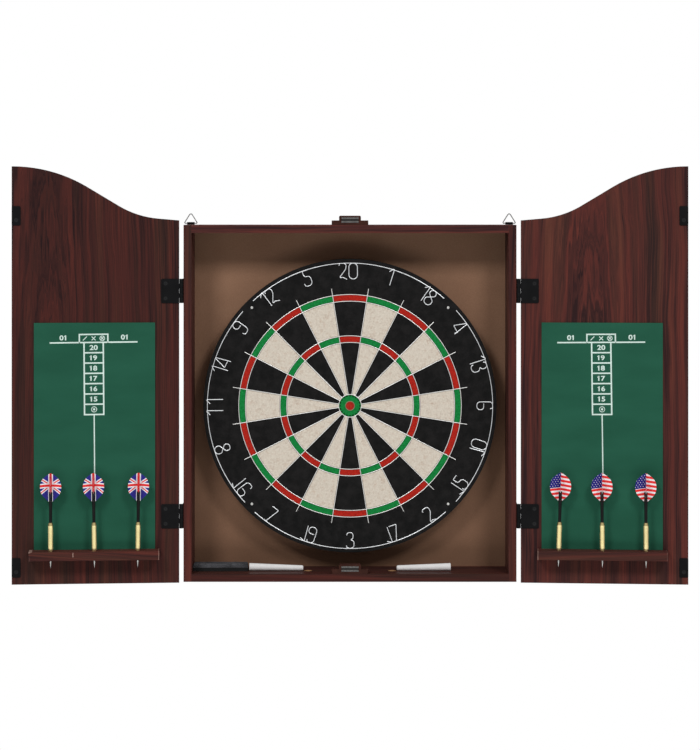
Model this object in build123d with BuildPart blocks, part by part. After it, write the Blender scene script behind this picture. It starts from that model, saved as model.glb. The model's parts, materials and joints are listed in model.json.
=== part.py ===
"""Dart board cabinet with two chalk-board doors, built as separate pieces in one frame.

Lengths are in mm. X runs to the right as seen from the front, Y towards the wall and Z up.
The origin is the centre of the back panel's rear face, which lies on the wall.
At rest both doors stand open, a few degrees short of flat, and every loose piece is in its place.
"""

import math
import os

from build123d import *

os.makedirs("parts", exist_ok=True)

# Dart board, which the box is built around
BOARD_R, BAND_T, BAND_W = 224.0, 1.2, 31.0
SISAL_T, BACKING_T = 28.0, 6.0
BAND_BACK = 1.0  # the band starts this far behind the face
DISC_R = BOARD_R - BAND_T
NUMBER_INSET, NUMBER_WIRE, NUMBER_T, NUMBER_ARC = 6.0, 1.6, 1.6, 84.0
NUMBER_R = BOARD_R - NUMBER_INSET
DIGIT_W, DIGIT_H, DIGIT_GAP, DIGIT_DIP = 12.0, 24.0, 3.0, 0.3
WIDE_GAPS = {"11": 10.5, "16": 6.5}  # numbers whose digits are further apart
ARC_TURNS = (0.75, 0.0, 0.1, 0.6)  # degrees by which the top, right, bottom and left arcs sit askew
NAIL_INSET, NAIL_HEAD_R, NAIL_HEAD_T, NAIL_R, NAIL_L = 6.0, 2.1, 0.9, 0.9, 18.0
NAIL_RING_R = NUMBER_R - NAIL_INSET
SPIDER_W, SPIDER_T, SPIDER_OVER = 1.2, 1.2, 11.0
NUMBER_BAND, RING_BAND, TREBLE_GAP = 54.0, 10.2, 63.0
DOUBLE_R = BOARD_R - NUMBER_BAND
TREBLE_R = DOUBLE_R - TREBLE_GAP
OUTER_BULL_R, BULL_R, BULL_WALL = 17.9, 6.35, 0.9
RINGS = (DOUBLE_R, DOUBLE_R - RING_BAND, TREBLE_R, TREBLE_R - RING_BAND, OUTER_BULL_R)
SPIDER_REACH = DOUBLE_R + SPIDER_OVER

# U bracket and the screw that hangs in it
NECK_R, SLOT_CLEAR, HEAD_R, HEAD_T, HANG_DEPTH = 2.5, 0.1, 7.0, 1.2, 25.0
PLATE_T, PLATE_GAP, HEAD_GAP, HEAD_ROOM = 1.2, 0.3, 0.2, 1.1
PLATE_W, PLATE_BELOW, PLATE_ABOVE, BRACKET_EAR = 56.0, 27.0, 11.0, 14.0
RIVET_R, RIVET_HEAD_R, RIVET_HEAD_T, RIVET_DROP = 1.5, 3.0, 0.9, 17.0

# Box: the room round the board gives its inside
BOARD_ASIDE, BOARD_ABOVE, BOARD_BELOW = 15.5, 40.5, 26.5
FACE_SET_BACK = 42.0  # from the box's front edges to the board's face
PANEL_T = 12.0
BACK_T = 3.0
REBATE = 6.0  # how far the back panel reaches into each panel around it
EDGE_R = 0.8  # softened corners of the boards
BRACKET_ROOM = PLATE_GAP + PLATE_T + HEAD_GAP + HEAD_T + HEAD_ROOM
BOX_W = 2 * (BOARD_R + BOARD_ASIDE + PANEL_T)
BOX_H = 2 * (BOARD_R + PANEL_T) + BOARD_ABOVE + BOARD_BELOW
INSIDE_DEPTH = FACE_SET_BACK + SISAL_T + BACKING_T + BRACKET_ROOM
BOX_DEPTH = INSIDE_DEPTH + BACK_T
FRONT_Y = -BOX_DEPTH
FACE_Y = FRONT_Y + FACE_SET_BACK
BOARD_BACK = FACE_Y + SISAL_T + BACKING_T
BOARD_Z = (BOARD_BELOW - BOARD_ABOVE) / 2
SIDE_X = BOX_W / 2
TOP_Z = BOX_H / 2
IN_X = SIDE_X - PANEL_T
IN_Z = TOP_Z - PANEL_T
DOWEL_R, DOWEL_L, DOWEL_IN_SIDE, DOWEL_END_GAP = 3.0, 30.0, 8.0, 0.3
DOWEL_FROM_FRONT, DOWEL_FROM_WALL = 21.0, 24.0
DOWEL_Y = (FRONT_Y + DOWEL_FROM_FRONT, -DOWEL_FROM_WALL)

# Loose on the bottom panel: the eraser in its corner, the chalk beside it, and holes that chalk stands in
ERASER_L, ERASER_W, ERASER_H, FELT_T, ERASER_ROUND = 84.0, 21.5, 12.0, 7.0, 1.5
ERASER_GAP, ERASER_SET_BACK = 0.2, 28.5
ERASER_X, ERASER_Y = ERASER_GAP - IN_X, FRONT_Y + ERASER_SET_BACK
CHALK_R, CHALK_TIP_R, CHALK_L, CHALK_ROUND, TIP_ROUND = 5.75, 4.0, 82.4, 0.8, 2.4
CHALK_GAP, CHALK_SET_BACK = 1.9, 33.5
CHALK_X, CHALK_Y = -ERASER_X - ERASER_L - CHALK_GAP, FRONT_Y + CHALK_SET_BACK
CHALK_HOLE_R, CHALK_HOLE_DEPTH, CHALK_HOLE_GAP = 6.0, 8.0, 1.0
CHALK_HOLE_X = CHALK_X - CHALK_L - CHALK_HOLE_GAP - CHALK_HOLE_R

# Doors
DOOR_T = 12.0
DOOR_GAP = 1.5  # between a closed door and the box
MEET_GAP = 0.5  # from a closed door's meeting edge to the middle
PIN_OFF = 3.15  # from the pin to the door's edge, and to the box's side
DOOR_BELOW, DOOR_ABOVE = 1.1, 88.3  # how far a door passes the box
DOOR_W = SIDE_X - MEET_GAP
DOOR_BOTTOM, DOOR_TOP = -TOP_Z - DOOR_BELOW, TOP_Z + DOOR_ABOVE
CROWN_FLAT, CROWN_TAIL, CROWN_DROP, TAIL_DROP = 61.3, 63.5, 75.9, 5.5
CROWN = [(0, 0), (CROWN_FLAT, 0), (DOOR_W - CROWN_TAIL, CROWN_DROP), (DOOR_W, CROWN_DROP + TAIL_DROP)]
CROWN_R = [215.0, 139.0]
LEG_SHARE = 0.98  # how much of its legs a bend of the crown may take
REST_SHORT = 4.5  # degrees that a door at rest lacks to being flat open
PIN_X = SIDE_X + PIN_OFF
PIN_Y = FRONT_Y - DOOR_GAP
MEET = PIN_OFF + DOOR_W  # the meeting edge's distance from the pin

# What each door carries
BOARD_SHIFT = {-1: -1.6, 1: -3.4}  # score board and rail stand a little to the viewer's left
SCORE_T, SCORE_ROOM, SCORE_FROM_TOP = 1.5, 42.2, 147.0
SCORE_TOP = TOP_Z - SCORE_FROM_TOP
RAIL_T, RAIL_DEPTH, RAIL_OVER, RAIL_RISE = 13.4, 28.0, 6.7, 52.0
RAIL_TOP = DOOR_BOTTOM + RAIL_RISE
DART_PITCH, DART_OUT, DART_HOLE_R = 65.0, 18.5, 2.2
DART_LEAN = {-1: (0.0, -0.7, 0.6), 1: (1.55, -0.4, -0.2)}  # degrees, the top to the right

# Hinges
HINGE_INSET = 99.5  # from the box's top or bottom to a hinge's middle
HINGE_Z = (TOP_Z - HINGE_INSET, HINGE_INSET - TOP_Z)
LEAF_T, LEAF_H, LEAF_REACH, LEAF_CORNER = 1.2, 36.7, 30.35, 2.0
KNUCKLE_R, KNUCKLE_ROWS, PIN_R = 3.0, 5, 1.2
PIN_CLEAR = 0.05  # between the pin and a door's knuckles
KNUCKLE_CLEAR = 0.1  # between neighbouring knuckles, along the pin
NOTCH_CLEAR = 0.25  # between a leaf and the other leaf's knuckles
LEAF_SCREW_OUT, LEAF_SCREW_PITCH = 23.75, 22.5
SCORE_W = MEET - LEAF_REACH - SCORE_ROOM  # what the leaves and the bare strips beside it leave
RAIL_L = SCORE_W + 2 * RAIL_OVER

# Screws: one size for leaves, strike plates, catches and straps
SCREW_HEAD_R, SCREW_R, SCREW_L, SCREW_SINK = 2.9, 1.5, 10.0, 1.4
RECESS_W, RECESS_L, RECESS_DEPTH = 0.8, 3.2, 0.9

# Magnetic catches and their strike plates
CATCH_W, CATCH_BODY_W, CATCH_H, EAR_H, CATCH_DEPTH = 55.4, 33.0, 14.0, 6.8, 14.0
POLE_W, POLE_T, POLE_DEPTH, MAGNET_T = 26.0, 2.5, 11.5, 3.0
POLE_LOW = 3.45  # from the catch's base to the lower pole plate
POLE_PROUD, MAGNET_BACK = 0.5, 0.9
EAR_SINK, EAR_BORE_R = 3.0, 3.1
STRIKE_W, STRIKE_H, STRIKE_T = 13.4, 29.0, 1.2
STRIKE_RISE_TOP, STRIKE_RISE_BOTTOM = 14.0, 12.4  # from a catch's base to its strike plate's middle
STRIKE_Z = (TOP_Z + STRIKE_RISE_TOP, STRIKE_RISE_BOTTOM - IN_Z)
STRIKE_SCREW_DROP = 6.5

# Hangers at the rear top corners
STRAP_W, STRAP_T, STRAP_L, STRAP_SUNK = 11.6, 1.0, 20.5, 0.5
LOOP_RISE, LOOP_R, RING_R, RING_CLEAR = 2.0, 1.9, 0.8, 0.08
RING_HALF_W, RING_RISE, RING_BEND, RING_TOP_BEND = 10.4, 16.6, 1.2, 2.4
STRAP_SCREW_ASIDE, STRAP_SCREW_DROP = 3.0, 12.5
HANGER_X = IN_X + PANEL_T / 2
STRAP_LOW, LOOP_Z = TOP_Z - STRAP_L, TOP_Z + LOOP_RISE
STRAP_SCREW_X, STRAP_SCREW_Z = HANGER_X + STRAP_SCREW_ASIDE, TOP_Z - STRAP_SCREW_DROP
LOOP_Y = -STRAP_SUNK - LOOP_R
STRAP_FRONT = -STRAP_SUNK - STRAP_T

# Darts, measured up from the rail's top along each dart
POINT_R, POINT_L, POINT_TAPER, POINT_IN = 1.15, 25.4, 8.0, 10.0
BARREL_R, BARREL_L, NOSE_R, NOSE_L, NECK_TOP_R, NECK_L = 3.8, 42.6, 2.7, 4.0, 2.9, 6.0
BARREL_SEAT = 0.1  # leaves room for a leaning dart
GROOVES, GROOVE_PITCH, GROOVE_W, GROOVE_DEEP, GROOVE_START = 9, 2.4, 0.8, 0.25, 10.0
STEM_R, STEM_LOW_R, STEM_GRIP, THREAD_R, THREAD_L = 2.5, 2.2, 14.0, 1.7, 6.0
FLIGHT_T, FLIGHT_LOW, FLIGHT_H, FLIGHT_FLAT = 0.4, 74.6, 42.0, 1.0
FLIGHT_HALF = [(3.0, 0.0), (14.2, 12.7), (15.8, 19.6), (15.3, 26.5), (12.0, 33.4), (6.5, 38.6)]
STEM_TOP = FLIGHT_LOW + STEM_GRIP

LEFT, RIGHT = -1, 1
SIDES = (LEFT, RIGHT)
NAME = {LEFT: "left", RIGHT: "right"}


def save(builder, name):
    """Label a finished piece and write it to its own file."""
    builder.part.label = name
    export_step(builder.part, f"parts/{name}.step")


def save_group(pieces, name):
    """Write several separate solids to one file."""
    group = Compound([solid for piece in pieces for solid in piece.solids()])
    group.label = name
    export_step(group, f"parts/{name}.step")


def box_between(low, high, mode=Mode.ADD):
    """A box between two opposite corners."""
    with Locations(tuple((a + b) / 2 for a, b in zip(low, high))):
        Box(*[abs(b - a) for a, b in zip(low, high)], mode=mode)


def door_plane(side, out=0.0):
    """The inner face of a door at rest: local x runs right, y up and z out of the face, from the pin."""
    turn = math.radians(REST_SHORT)
    normal = Vector(-side * math.sin(turn), -math.cos(turn), 0)
    pin = Vector(side * PIN_X, PIN_Y, 0)
    return Plane(pin + normal * out, x_dir=(math.cos(turn), -side * math.sin(turn), 0), z_dir=normal)


def door_point(side, x, z, out=0.0):
    """A point of a door, from its local place."""
    return door_plane(side).from_local_coords(Vector(x, z, out))


def crown_bend(points, i, radius):
    """A bend's radius at a point of the crown, or the largest that the legs beside it leave room for."""
    before, after = (Vector(points[j]) - Vector(points[i]) for j in (i - 1, i + 1))
    room = min(before.length / (1 if i == 1 else 2), after.length / (1 if i == len(points) - 2 else 2))
    return min(radius, LEG_SHARE * room * math.tan(math.radians(before.get_angle(after)) / 2))


def facing(point, out):
    """A place for a screw whose head faces the way out."""
    return Plane(point, z_dir=out).location


def on_leaf(side, x, z):
    """A screw's place on a leaf or plate of a door's inner face."""
    return facing(door_point(side, x, z, LEAF_T), door_plane(side).z_dir)


# One wood screw with a sunk head, pointing down from the origin, with and without its cross recess
with BuildPart() as blank:
    with BuildSketch(Plane.XZ):
        with BuildLine():
            Polyline(
                (0, 0), (SCREW_HEAD_R, 0), (SCREW_R, -SCREW_SINK), (SCREW_R, 1 - SCREW_L), (0, -SCREW_L),
                close=True,
            )
        make_face()
    revolve(axis=Axis.Z)

with BuildPart() as screw:
    add(blank.part)
    for turn in (0, 90):
        with Locations((0, 0, -RECESS_DEPTH / 2)):
            Box(RECESS_L, RECESS_W, RECESS_DEPTH, rotation=(0, 0, turn), mode=Mode.SUBTRACT)

half_pitch = LEAF_SCREW_PITCH / 2
leaf_heights = [z + dz for z in HINGE_Z for dz in (half_pitch, -half_pitch)]
leaf_screws = [
    facing((side * (SIDE_X + LEAF_T), PIN_Y + LEAF_SCREW_OUT, z), (side, 0, 0))
    for side in SIDES
    for z in leaf_heights
]
strap_screws = [facing((side * STRAP_SCREW_X, -STRAP_SUNK, STRAP_SCREW_Z), (0, 1, 0)) for side in SIDES]
ear_x = (CATCH_W + CATCH_BODY_W) / 4
catch_y = FRONT_Y + POLE_PROUD + CATCH_DEPTH / 2
catch_bases = (TOP_Z, -IN_Z)
catch_screws = [
    facing((side * ear_x, catch_y, base + EAR_H - EAR_SINK), (0, 0, 1))
    for base in catch_bases
    for side in SIDES
]
door_screws = {
    side: [on_leaf(side, side * LEAF_SCREW_OUT, z) for z in leaf_heights]
    + [on_leaf(side, side * (MEET - STRIKE_W / 2), z - STRIKE_SCREW_DROP) for z in STRIKE_Z]
    for side in SIDES
}


def sink(places):
    """Take the room of screws out of the piece being built."""
    add([blank.part.moved(place) for place in places], mode=Mode.SUBTRACT)


save_group([screw.part.moved(p) for p in leaf_screws + strap_screws + catch_screws], "cabinet_screws")


# Cabinet panels
dowel_z = TOP_Z - PANEL_T / 2
bore_l = DOWEL_L + 2 * DOWEL_END_GAP
dowel_x = IN_X + DOWEL_IN_SIDE - DOWEL_L / 2
dowel_spots = [(s * dowel_x, y, e * dowel_z) for s in SIDES for e in (1, -1) for y in DOWEL_Y]


def dowel_rods(length, mode=Mode.ADD):
    """All the dowels, or all their bores."""
    with Locations(*dowel_spots):
        Cylinder(DOWEL_R, length, rotation=(0, 90, 0), mode=mode)


def strap_recess(side):
    """Take the shallow recess of a hanger strap out of the rear edge."""
    box_between((side * IN_X, STRAP_FRONT, STRAP_LOW), (side * SIDE_X, 0, TOP_Z), mode=Mode.SUBTRACT)


for side in SIDES:
    with BuildPart() as panel:
        box_between((side * IN_X, FRONT_Y, -TOP_Z), (side * SIDE_X, 0, TOP_Z))
        fillet(panel.edges().filter_by(Axis.Z).group_by(Axis.X)[0 if side == LEFT else -1], EDGE_R)
        box_between(
            (side * IN_X, -BACK_T, -IN_Z - REBATE), (side * (IN_X + REBATE), 0, IN_Z + REBATE),
            mode=Mode.SUBTRACT,
        )
        strap_recess(side)
        dowel_rods(bore_l, mode=Mode.SUBTRACT)
        sink(leaf_screws + strap_screws)
    save(panel, f"{NAME[side]}_side_panel")

for end, name in ((1, "top_panel"), (-1, "bottom_panel")):
    with BuildPart() as panel:
        box_between((-IN_X, FRONT_Y, end * IN_Z), (IN_X, 0, end * TOP_Z))
        box_between((-IN_X, -BACK_T, end * IN_Z), (IN_X, 0, end * (IN_Z + REBATE)), mode=Mode.SUBTRACT)
        dowel_rods(bore_l, mode=Mode.SUBTRACT)
        with Locations(*[(s * CHALK_HOLE_X, CHALK_Y, -IN_Z - CHALK_HOLE_DEPTH / 2) for s in SIDES]):
            Cylinder(CHALK_HOLE_R, CHALK_HOLE_DEPTH, mode=Mode.SUBTRACT)
        sink(catch_screws)
    save(panel, name)

with BuildPart() as dowels:
    dowel_rods(DOWEL_L)
save(dowels, "corner_dowels")

rivet_x = (PLATE_W + BRACKET_EAR) / 2
rivet_spots = [(s * rivet_x, BOARD_Z - drop) for s in SIDES for drop in (0, RIVET_DROP)]
with BuildPart() as back:
    box_between((-IN_X - REBATE, -BACK_T, -IN_Z - REBATE), (IN_X + REBATE, 0, IN_Z + REBATE))
    strap_recess(LEFT)
    strap_recess(RIGHT)
    with Locations(*[(x, -BACK_T / 2, z) for x, z in rivet_spots]):
        Cylinder(RIVET_R, BACK_T, rotation=(90, 0, 0), mode=Mode.SUBTRACT)
save(back, "back_panel")

# Hinges
row_h = LEAF_H / KNUCKLE_ROWS
leaf_start = KNUCKLE_R + NOTCH_CLEAR


def rows(z, parity):
    """Ends of one leaf's knuckles: the frame leaf has the even rows, the door leaf the odd."""
    low = z - LEAF_H / 2
    gap = KNUCKLE_CLEAR / 2
    spans = [(low + i * row_h + gap, low + (i + 1) * row_h - gap) for i in range(KNUCKLE_ROWS)]
    return spans[parity::2]


def upright(radius, side, low, high, mode=Mode.ADD):
    """A cylinder round a door's pin, between two heights."""
    with Locations((side * PIN_X, PIN_Y, (low + high) / 2)):
        Cylinder(radius, high - low, mode=mode)


def frame_leaf(side, z):
    """The leaf on the box's side, with its three knuckles."""
    start = PIN_Y + leaf_start
    outer = side * (SIDE_X + LEAF_T)
    with BuildPart() as leaf:
        box_between((side * SIDE_X, start, z - LEAF_H / 2), (outer, PIN_Y + LEAF_REACH, z + LEAF_H / 2))
        fillet(leaf.edges().filter_by(Axis.X).group_by(Axis.Y)[-1], LEAF_CORNER)
        for low, high in rows(z, 0):
            box_between((side * SIDE_X, PIN_Y, low), (outer, start, high))
            upright(KNUCKLE_R, side, low, high)
            upright(PIN_R, side, low, high, mode=Mode.SUBTRACT)
        sink(leaf_screws)
    return leaf.part


def hinge_pin(side, z):
    """The pin, riveted into the frame leaf."""
    with BuildPart() as pin:
        upright(PIN_R, side, z - LEAF_H / 2, z + LEAF_H / 2)
    return pin.part


def door_leaf(side, z):
    """The leaf on a door's inner face, with its two knuckles."""
    plane = door_plane(side)
    with BuildPart() as leaf:
        with BuildSketch(plane):
            with Locations((side * (leaf_start + LEAF_REACH) / 2, z)):
                Rectangle(LEAF_REACH - leaf_start, LEAF_H)
        extrude(amount=LEAF_T)
        across = Axis(plane.origin, plane.z_dir)
        outward = Axis(plane.origin, plane.x_dir * side)
        fillet(leaf.edges().filter_by(across).sort_by(outward)[-2:], LEAF_CORNER)
        for low, high in rows(z, 1):
            with BuildSketch(plane):
                with Locations((side * leaf_start / 2, (low + high) / 2)):
                    Rectangle(leaf_start, high - low)
            extrude(amount=LEAF_T)
            upright(KNUCKLE_R, side, low, high)
            upright(PIN_R + PIN_CLEAR, side, low, high, mode=Mode.SUBTRACT)
        sink(door_screws[side])
    return leaf.part


def strike_plate(side, z):
    """The plate at a door's meeting edge that a catch holds."""
    with BuildPart() as plate:
        with BuildSketch(door_plane(side)):
            with Locations((side * (MEET - STRIKE_W / 2), z)):
                RectangleRounded(STRIKE_W, STRIKE_H, LEAF_CORNER)
        extrude(amount=STRIKE_T)
        sink(door_screws[side])
    return plate.part


hinges = [(side, z) for side in SIDES for z in HINGE_Z]
save_group([make(*hinge) for make in (frame_leaf, hinge_pin) for hinge in hinges], "frame_hinge_leaves")

# Doors and what is fixed to them
for side in SIDES:
    plane = door_plane(side)
    outward = Axis(plane.origin, plane.z_dir)
    middle = side * (PIN_OFF + DOOR_W / 2) + BOARD_SHIFT[side]
    crown = [(side * (MEET - along), DOOR_TOP - drop) for along, drop in CROWN]
    with BuildPart() as door:
        with BuildSketch(plane):
            with BuildLine():
                FilletPolyline(*crown, radius=[crown_bend(crown, i + 1, r) for i, r in enumerate(CROWN_R)])
                Polyline(crown[-1], (side * PIN_OFF, DOOR_BOTTOM), (side * MEET, DOOR_BOTTOM), crown[0])
            make_face()
        extrude(amount=-DOOR_T)
        broad = door.faces().sort_by(outward)
        fillet(broad[0].edges() + broad[-1].edges(), EDGE_R)
        sink(door_screws[side])
    save(door, f"{NAME[side]}_door_panel")

    with BuildPart() as score:
        with BuildSketch(plane):
            with Locations((middle, (SCORE_TOP + RAIL_TOP) / 2)):
                Rectangle(SCORE_W, SCORE_TOP - RAIL_TOP)
        extrude(amount=SCORE_T)
    save(score, f"{NAME[side]}_score_board")

    with BuildPart() as rail:
        with BuildSketch(plane):
            with Locations((middle, RAIL_TOP - RAIL_T / 2)):
                Rectangle(RAIL_L, RAIL_T)
        extrude(amount=RAIL_DEPTH)
        fillet(rail.faces().sort_by(outward)[-1].edges(), EDGE_R)
        for i in (-1, 0, 1):
            with Locations(door_point(side, middle + i * DART_PITCH, RAIL_TOP - RAIL_T / 2, DART_OUT)):
                Cylinder(DART_HOLE_R, RAIL_T, mode=Mode.SUBTRACT)
    save(rail, f"{NAME[side]}_dart_rail")

    save_group([door_leaf(side, z) for z in HINGE_Z], f"{NAME[side]}_door_leaves")
    save_group([strike_plate(side, z) for z in STRIKE_Z], f"{NAME[side]}_strike_plates")
    save_group([screw.part.moved(place) for place in door_screws[side]], f"{NAME[side]}_door_screws")

# Magnetic catches: the pole plates end level with the box's front edges
housing_front = FRONT_Y + POLE_PROUD
pack_back = FRONT_Y + POLE_DEPTH
layers = [
    (POLE_LOW, POLE_T, FRONT_Y),
    (POLE_LOW + POLE_T, MAGNET_T, housing_front + MAGNET_BACK),
    (POLE_LOW + POLE_T + MAGNET_T, POLE_T, FRONT_Y),
]


def catch_housing(base):
    """A plastic body with two ears, open at the front for its magnet and pole plates."""
    rear = housing_front + CATCH_DEPTH
    pocket_top = base + POLE_LOW + 2 * POLE_T + MAGNET_T
    with BuildPart() as housing:
        box_between((-CATCH_W / 2, housing_front, base), (CATCH_W / 2, rear, base + EAR_H))
        fillet(housing.edges().filter_by(Axis.Z), LEAF_CORNER)
        box_between((-CATCH_BODY_W / 2, housing_front, base), (CATCH_BODY_W / 2, rear, base + CATCH_H))
        fillet(housing.edges().filter_by(Axis.Y).group_by(Axis.Z)[-1], LEAF_CORNER)
        box_between(
            (-POLE_W / 2, housing_front, base + POLE_LOW), (POLE_W / 2, pack_back, pocket_top),
            mode=Mode.SUBTRACT,
        )
        with Locations(*[(s * ear_x, catch_y, base + EAR_H - EAR_SINK / 2) for s in SIDES]):
            Cylinder(EAR_BORE_R, EAR_SINK, mode=Mode.SUBTRACT)
        sink(catch_screws)
    return housing.part


def pack_layer(base, low, thick, front):
    """A pole plate or the magnet between two of them."""
    with BuildPart() as layer:
        box_between((-POLE_W / 2, front, base + low), (POLE_W / 2, pack_back, base + low + thick))
    return layer.part


save_group([catch_housing(base) for base in catch_bases], "catch_housings")
save_group([pack_layer(base, *layer) for base in catch_bases for layer in layers], "catch_magnet_packs")


# Hangers: a strap let into the rear edge and rolled into a loop above the box, and a ring in the loop
def hanger_strap(side):
    """One strap with its loop."""
    with BuildPart() as strap:
        with Locations((side * HANGER_X, -STRAP_SUNK - STRAP_T / 2, (STRAP_LOW + LOOP_Z) / 2)):
            Box(STRAP_W, STRAP_T, LOOP_Z - STRAP_LOW)
        with Locations((side * HANGER_X, LOOP_Y, LOOP_Z)):
            Cylinder(LOOP_R, STRAP_W, rotation=(0, 90, 0))
            Cylinder(RING_R + RING_CLEAR, STRAP_W, rotation=(0, 90, 0), mode=Mode.SUBTRACT)
        sink(strap_screws)
    return strap.part


save_group([hanger_strap(side) for side in SIDES], "hanger_straps")

for side in SIDES:
    with BuildPart() as ring:
        with BuildLine(Plane((side * HANGER_X, LOOP_Y, LOOP_Z), x_dir=(1, 0, 0), z_dir=(0, -1, 0))) as path:
            bend = FilletPolyline(
                (0, 0), (RING_HALF_W, 0), (0, RING_RISE), (-RING_HALF_W, 0), (-RING_R, 0),
                radius=[RING_BEND, RING_TOP_BEND, RING_BEND],
            )
            Line(bend @ 1, bend @ 0)
        with BuildSketch(Plane(path.line @ 0, z_dir=path.line % 0)):
            Circle(RING_R)
        sweep(path=path.line)
    save(ring, f"{NAME[side]}_hanger_ring")


# Dart board: sketches on its face have x to the right and y up
def board_plane(y):
    """A plane across the board's axis, facing the front."""
    return Plane((0, y, BOARD_Z), x_dir=(1, 0, 0), z_dir=(0, -1, 0))


with BuildPart() as sisal:
    with BuildSketch(board_plane(FACE_Y + SISAL_T)):
        Circle(DISC_R)
    extrude(amount=SISAL_T)
    with BuildSketch(board_plane(FACE_Y)):
        with PolarLocations(NAIL_RING_R, 4, start_angle=45):
            Circle(NAIL_R)
    extrude(amount=-NAIL_L, mode=Mode.SUBTRACT)
    with BuildSketch(board_plane(BOARD_BACK)):
        Circle(NECK_R)
    extrude(amount=HANG_DEPTH, mode=Mode.SUBTRACT)
save(sisal, "sisal_disc")

with BuildPart() as backing:
    with BuildSketch(board_plane(BOARD_BACK)):
        Circle(DISC_R)
        Circle(NECK_R, mode=Mode.SUBTRACT)
    extrude(amount=BACKING_T)
save(backing, "backing_board")

with BuildPart() as band:
    with BuildSketch(board_plane(FACE_Y + BAND_BACK)):
        Circle(BOARD_R)
        Circle(DISC_R, mode=Mode.SUBTRACT)
    extrude(amount=-BAND_W)
save(band, "steel_band")

with BuildPart() as spider:
    with BuildSketch(board_plane(FACE_Y)):
        for r in RINGS:
            Circle(r + SPIDER_W / 2)
            Circle(r - SPIDER_W / 2, mode=Mode.SUBTRACT)
        with PolarLocations((RINGS[-1] + SPIDER_REACH) / 2, 20, start_angle=9):
            Rectangle(SPIDER_REACH - RINGS[-1], SPIDER_W)
    extrude(amount=SPIDER_T)

with BuildPart() as bull_ring:
    with BuildSketch(board_plane(FACE_Y)):
        Circle(BULL_R + BULL_WALL)
        Circle(BULL_R, mode=Mode.SUBTRACT)
    extrude(amount=SPIDER_T)
save_group([spider.part, bull_ring.part], "wire_spider")

# Number ring: each digit is one or two bent wires on a grid 12 wide and 24 high
GRID_W, GRID_H = 12, 24
DIGITS = {
    "0": [([(0, 0), (13, 0), (13, 24), (0, 24)], 6.2, True)],
    "1": [([(0, 20), (6.5, 26.6), (6.5, 0)], 1.0, False)],
    "2": [
        (
            [(0, 20.5), (0.5, 24), (11.5, 24), (10, 15), (0, 1.5), (5.5, 2.8), (12, -0.5)],
            [2.0, 4.0, 6.0, 1.0, 3.0],
            False,
        ),
    ],
    "3": [
        (
            [(0.5, 20), (0.5, 24), (10, 24), (10, 15), (5.5, 13), (11.5, 11), (11.5, 0), (0, 0), (0, 4.5)],
            [3.6, 4.2, 3.5, 0.9, 4.0, 5.2, 4.0],
            False,
        ),
    ],
    "4": [([(11.5, 0), (10.5, 26.8), (0, 6.5), (12.6, 4.8)], 1.0, False)],
    "5": [
        (
            [(11, 24), (2.5, 24), (2.5, 14.5), (12, 14.5), (12, 0), (0.5, 0), (0, 5)],
            [1.0, 4.0, 5.0, 5.6, 4.0],
            False,
        ),
    ],
    "6": [
        (
            [(10.5, 20), (10, 24), (0, 24), (0, 0), (12, 0), (12, 10.5), (2.5, 10.5)],
            [2.5, 5.0, 5.6, 5.2, 4.5],
            False,
        ),
    ],
    "7": [([(0, 24), (11.5, 24), (4.5, 0)], 1.0, False)],
    "8": [
        ([(0, 0), (12, 0), (12, 9), (6, 13), (0, 9)], [5.6, 5.6, 3.4, 1.0, 3.4], True),
        ([(1, 24), (1, 17), (6, 13), (11, 17), (11, 24)], [4.5, 2.6, 1.0, 2.6, 4.5], True),
    ],
}
FEET_FIRST = {"1": [([(0, 3.2), (7.5, -0.6), (6.5, 24)], 1.0, False)]}  # bent another way by the ring
DIGITS["9"] = [([(GRID_W - x, GRID_H - y) for x, y in path], r, closed) for path, r, closed in DIGITS["6"]]
WIDE, TALL = DIGIT_W / GRID_W, DIGIT_H / GRID_H
digit_width = {digit: WIDE * max(x for path, *_ in DIGITS[digit] for x, y in path) for digit in DIGITS}
ORDER = [20, 1, 18, 4, 13, 6, 10, 15, 2, 17, 3, 19, 7, 16, 8, 11, 14, 9, 12, 5]  # clockwise from the top
FEET_OUT = range(6, 15)  # places whose numbers stand with their feet on the ring


def number_strokes(place):
    """The bent wires of one number, moved to its place on the ring."""
    text = str(ORDER[place])
    gap = WIDE_GAPS.get(text, DIGIT_GAP)
    across = -(sum(digit_width[c] for c in text) + gap * (len(text) - 1)) / 2
    flip = -1 if place in FEET_OUT else 1
    forms = {**DIGITS, **FEET_FIRST} if flip < 0 else DIGITS
    strokes = []
    for digit in text:
        for path, radius, closed in forms[digit]:
            moved = []
            for x, y in path:
                u = flip * (across + WIDE * x)
                v = NUMBER_R - DIGIT_DIP - TALL * (y if flip < 0 else GRID_H - y)
                spot = Vector(u, v, 0).rotate(Axis.Z, ARC_TURNS[(place + 2) % 20 // 5] - 18 * place)
                moved.append((spot.X, spot.Y))
            scale = min(WIDE, TALL)
            bend = [scale * r for r in radius] if isinstance(radius, list) else scale * radius
            strokes.append((moved, bend, closed))
        across += digit_width[digit] + gap
    return strokes


def number_arc(quarter):
    """A quarter of the number ring with its five numbers."""
    with BuildPart() as arc:
        with BuildSketch(board_plane(FACE_Y)):
            with BuildLine() as rim:
                first = 90 - 90 * quarter + ARC_TURNS[quarter] - NUMBER_ARC / 2
                CenterArc((0, 0), NUMBER_R, first, NUMBER_ARC)
            trace(rim.edges(), NUMBER_WIRE)
            for place in range(5 * quarter - 2, 5 * quarter + 3):
                for path, radius, closed in number_strokes(place % 20):
                    with BuildLine() as stroke:
                        FilletPolyline(*path, radius=radius, close=closed)
                    trace(stroke.edges(), NUMBER_WIRE)
        extrude(amount=NUMBER_T)
    return arc.part


save_group([number_arc(quarter) for quarter in range(4)], "number_ring")


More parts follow.
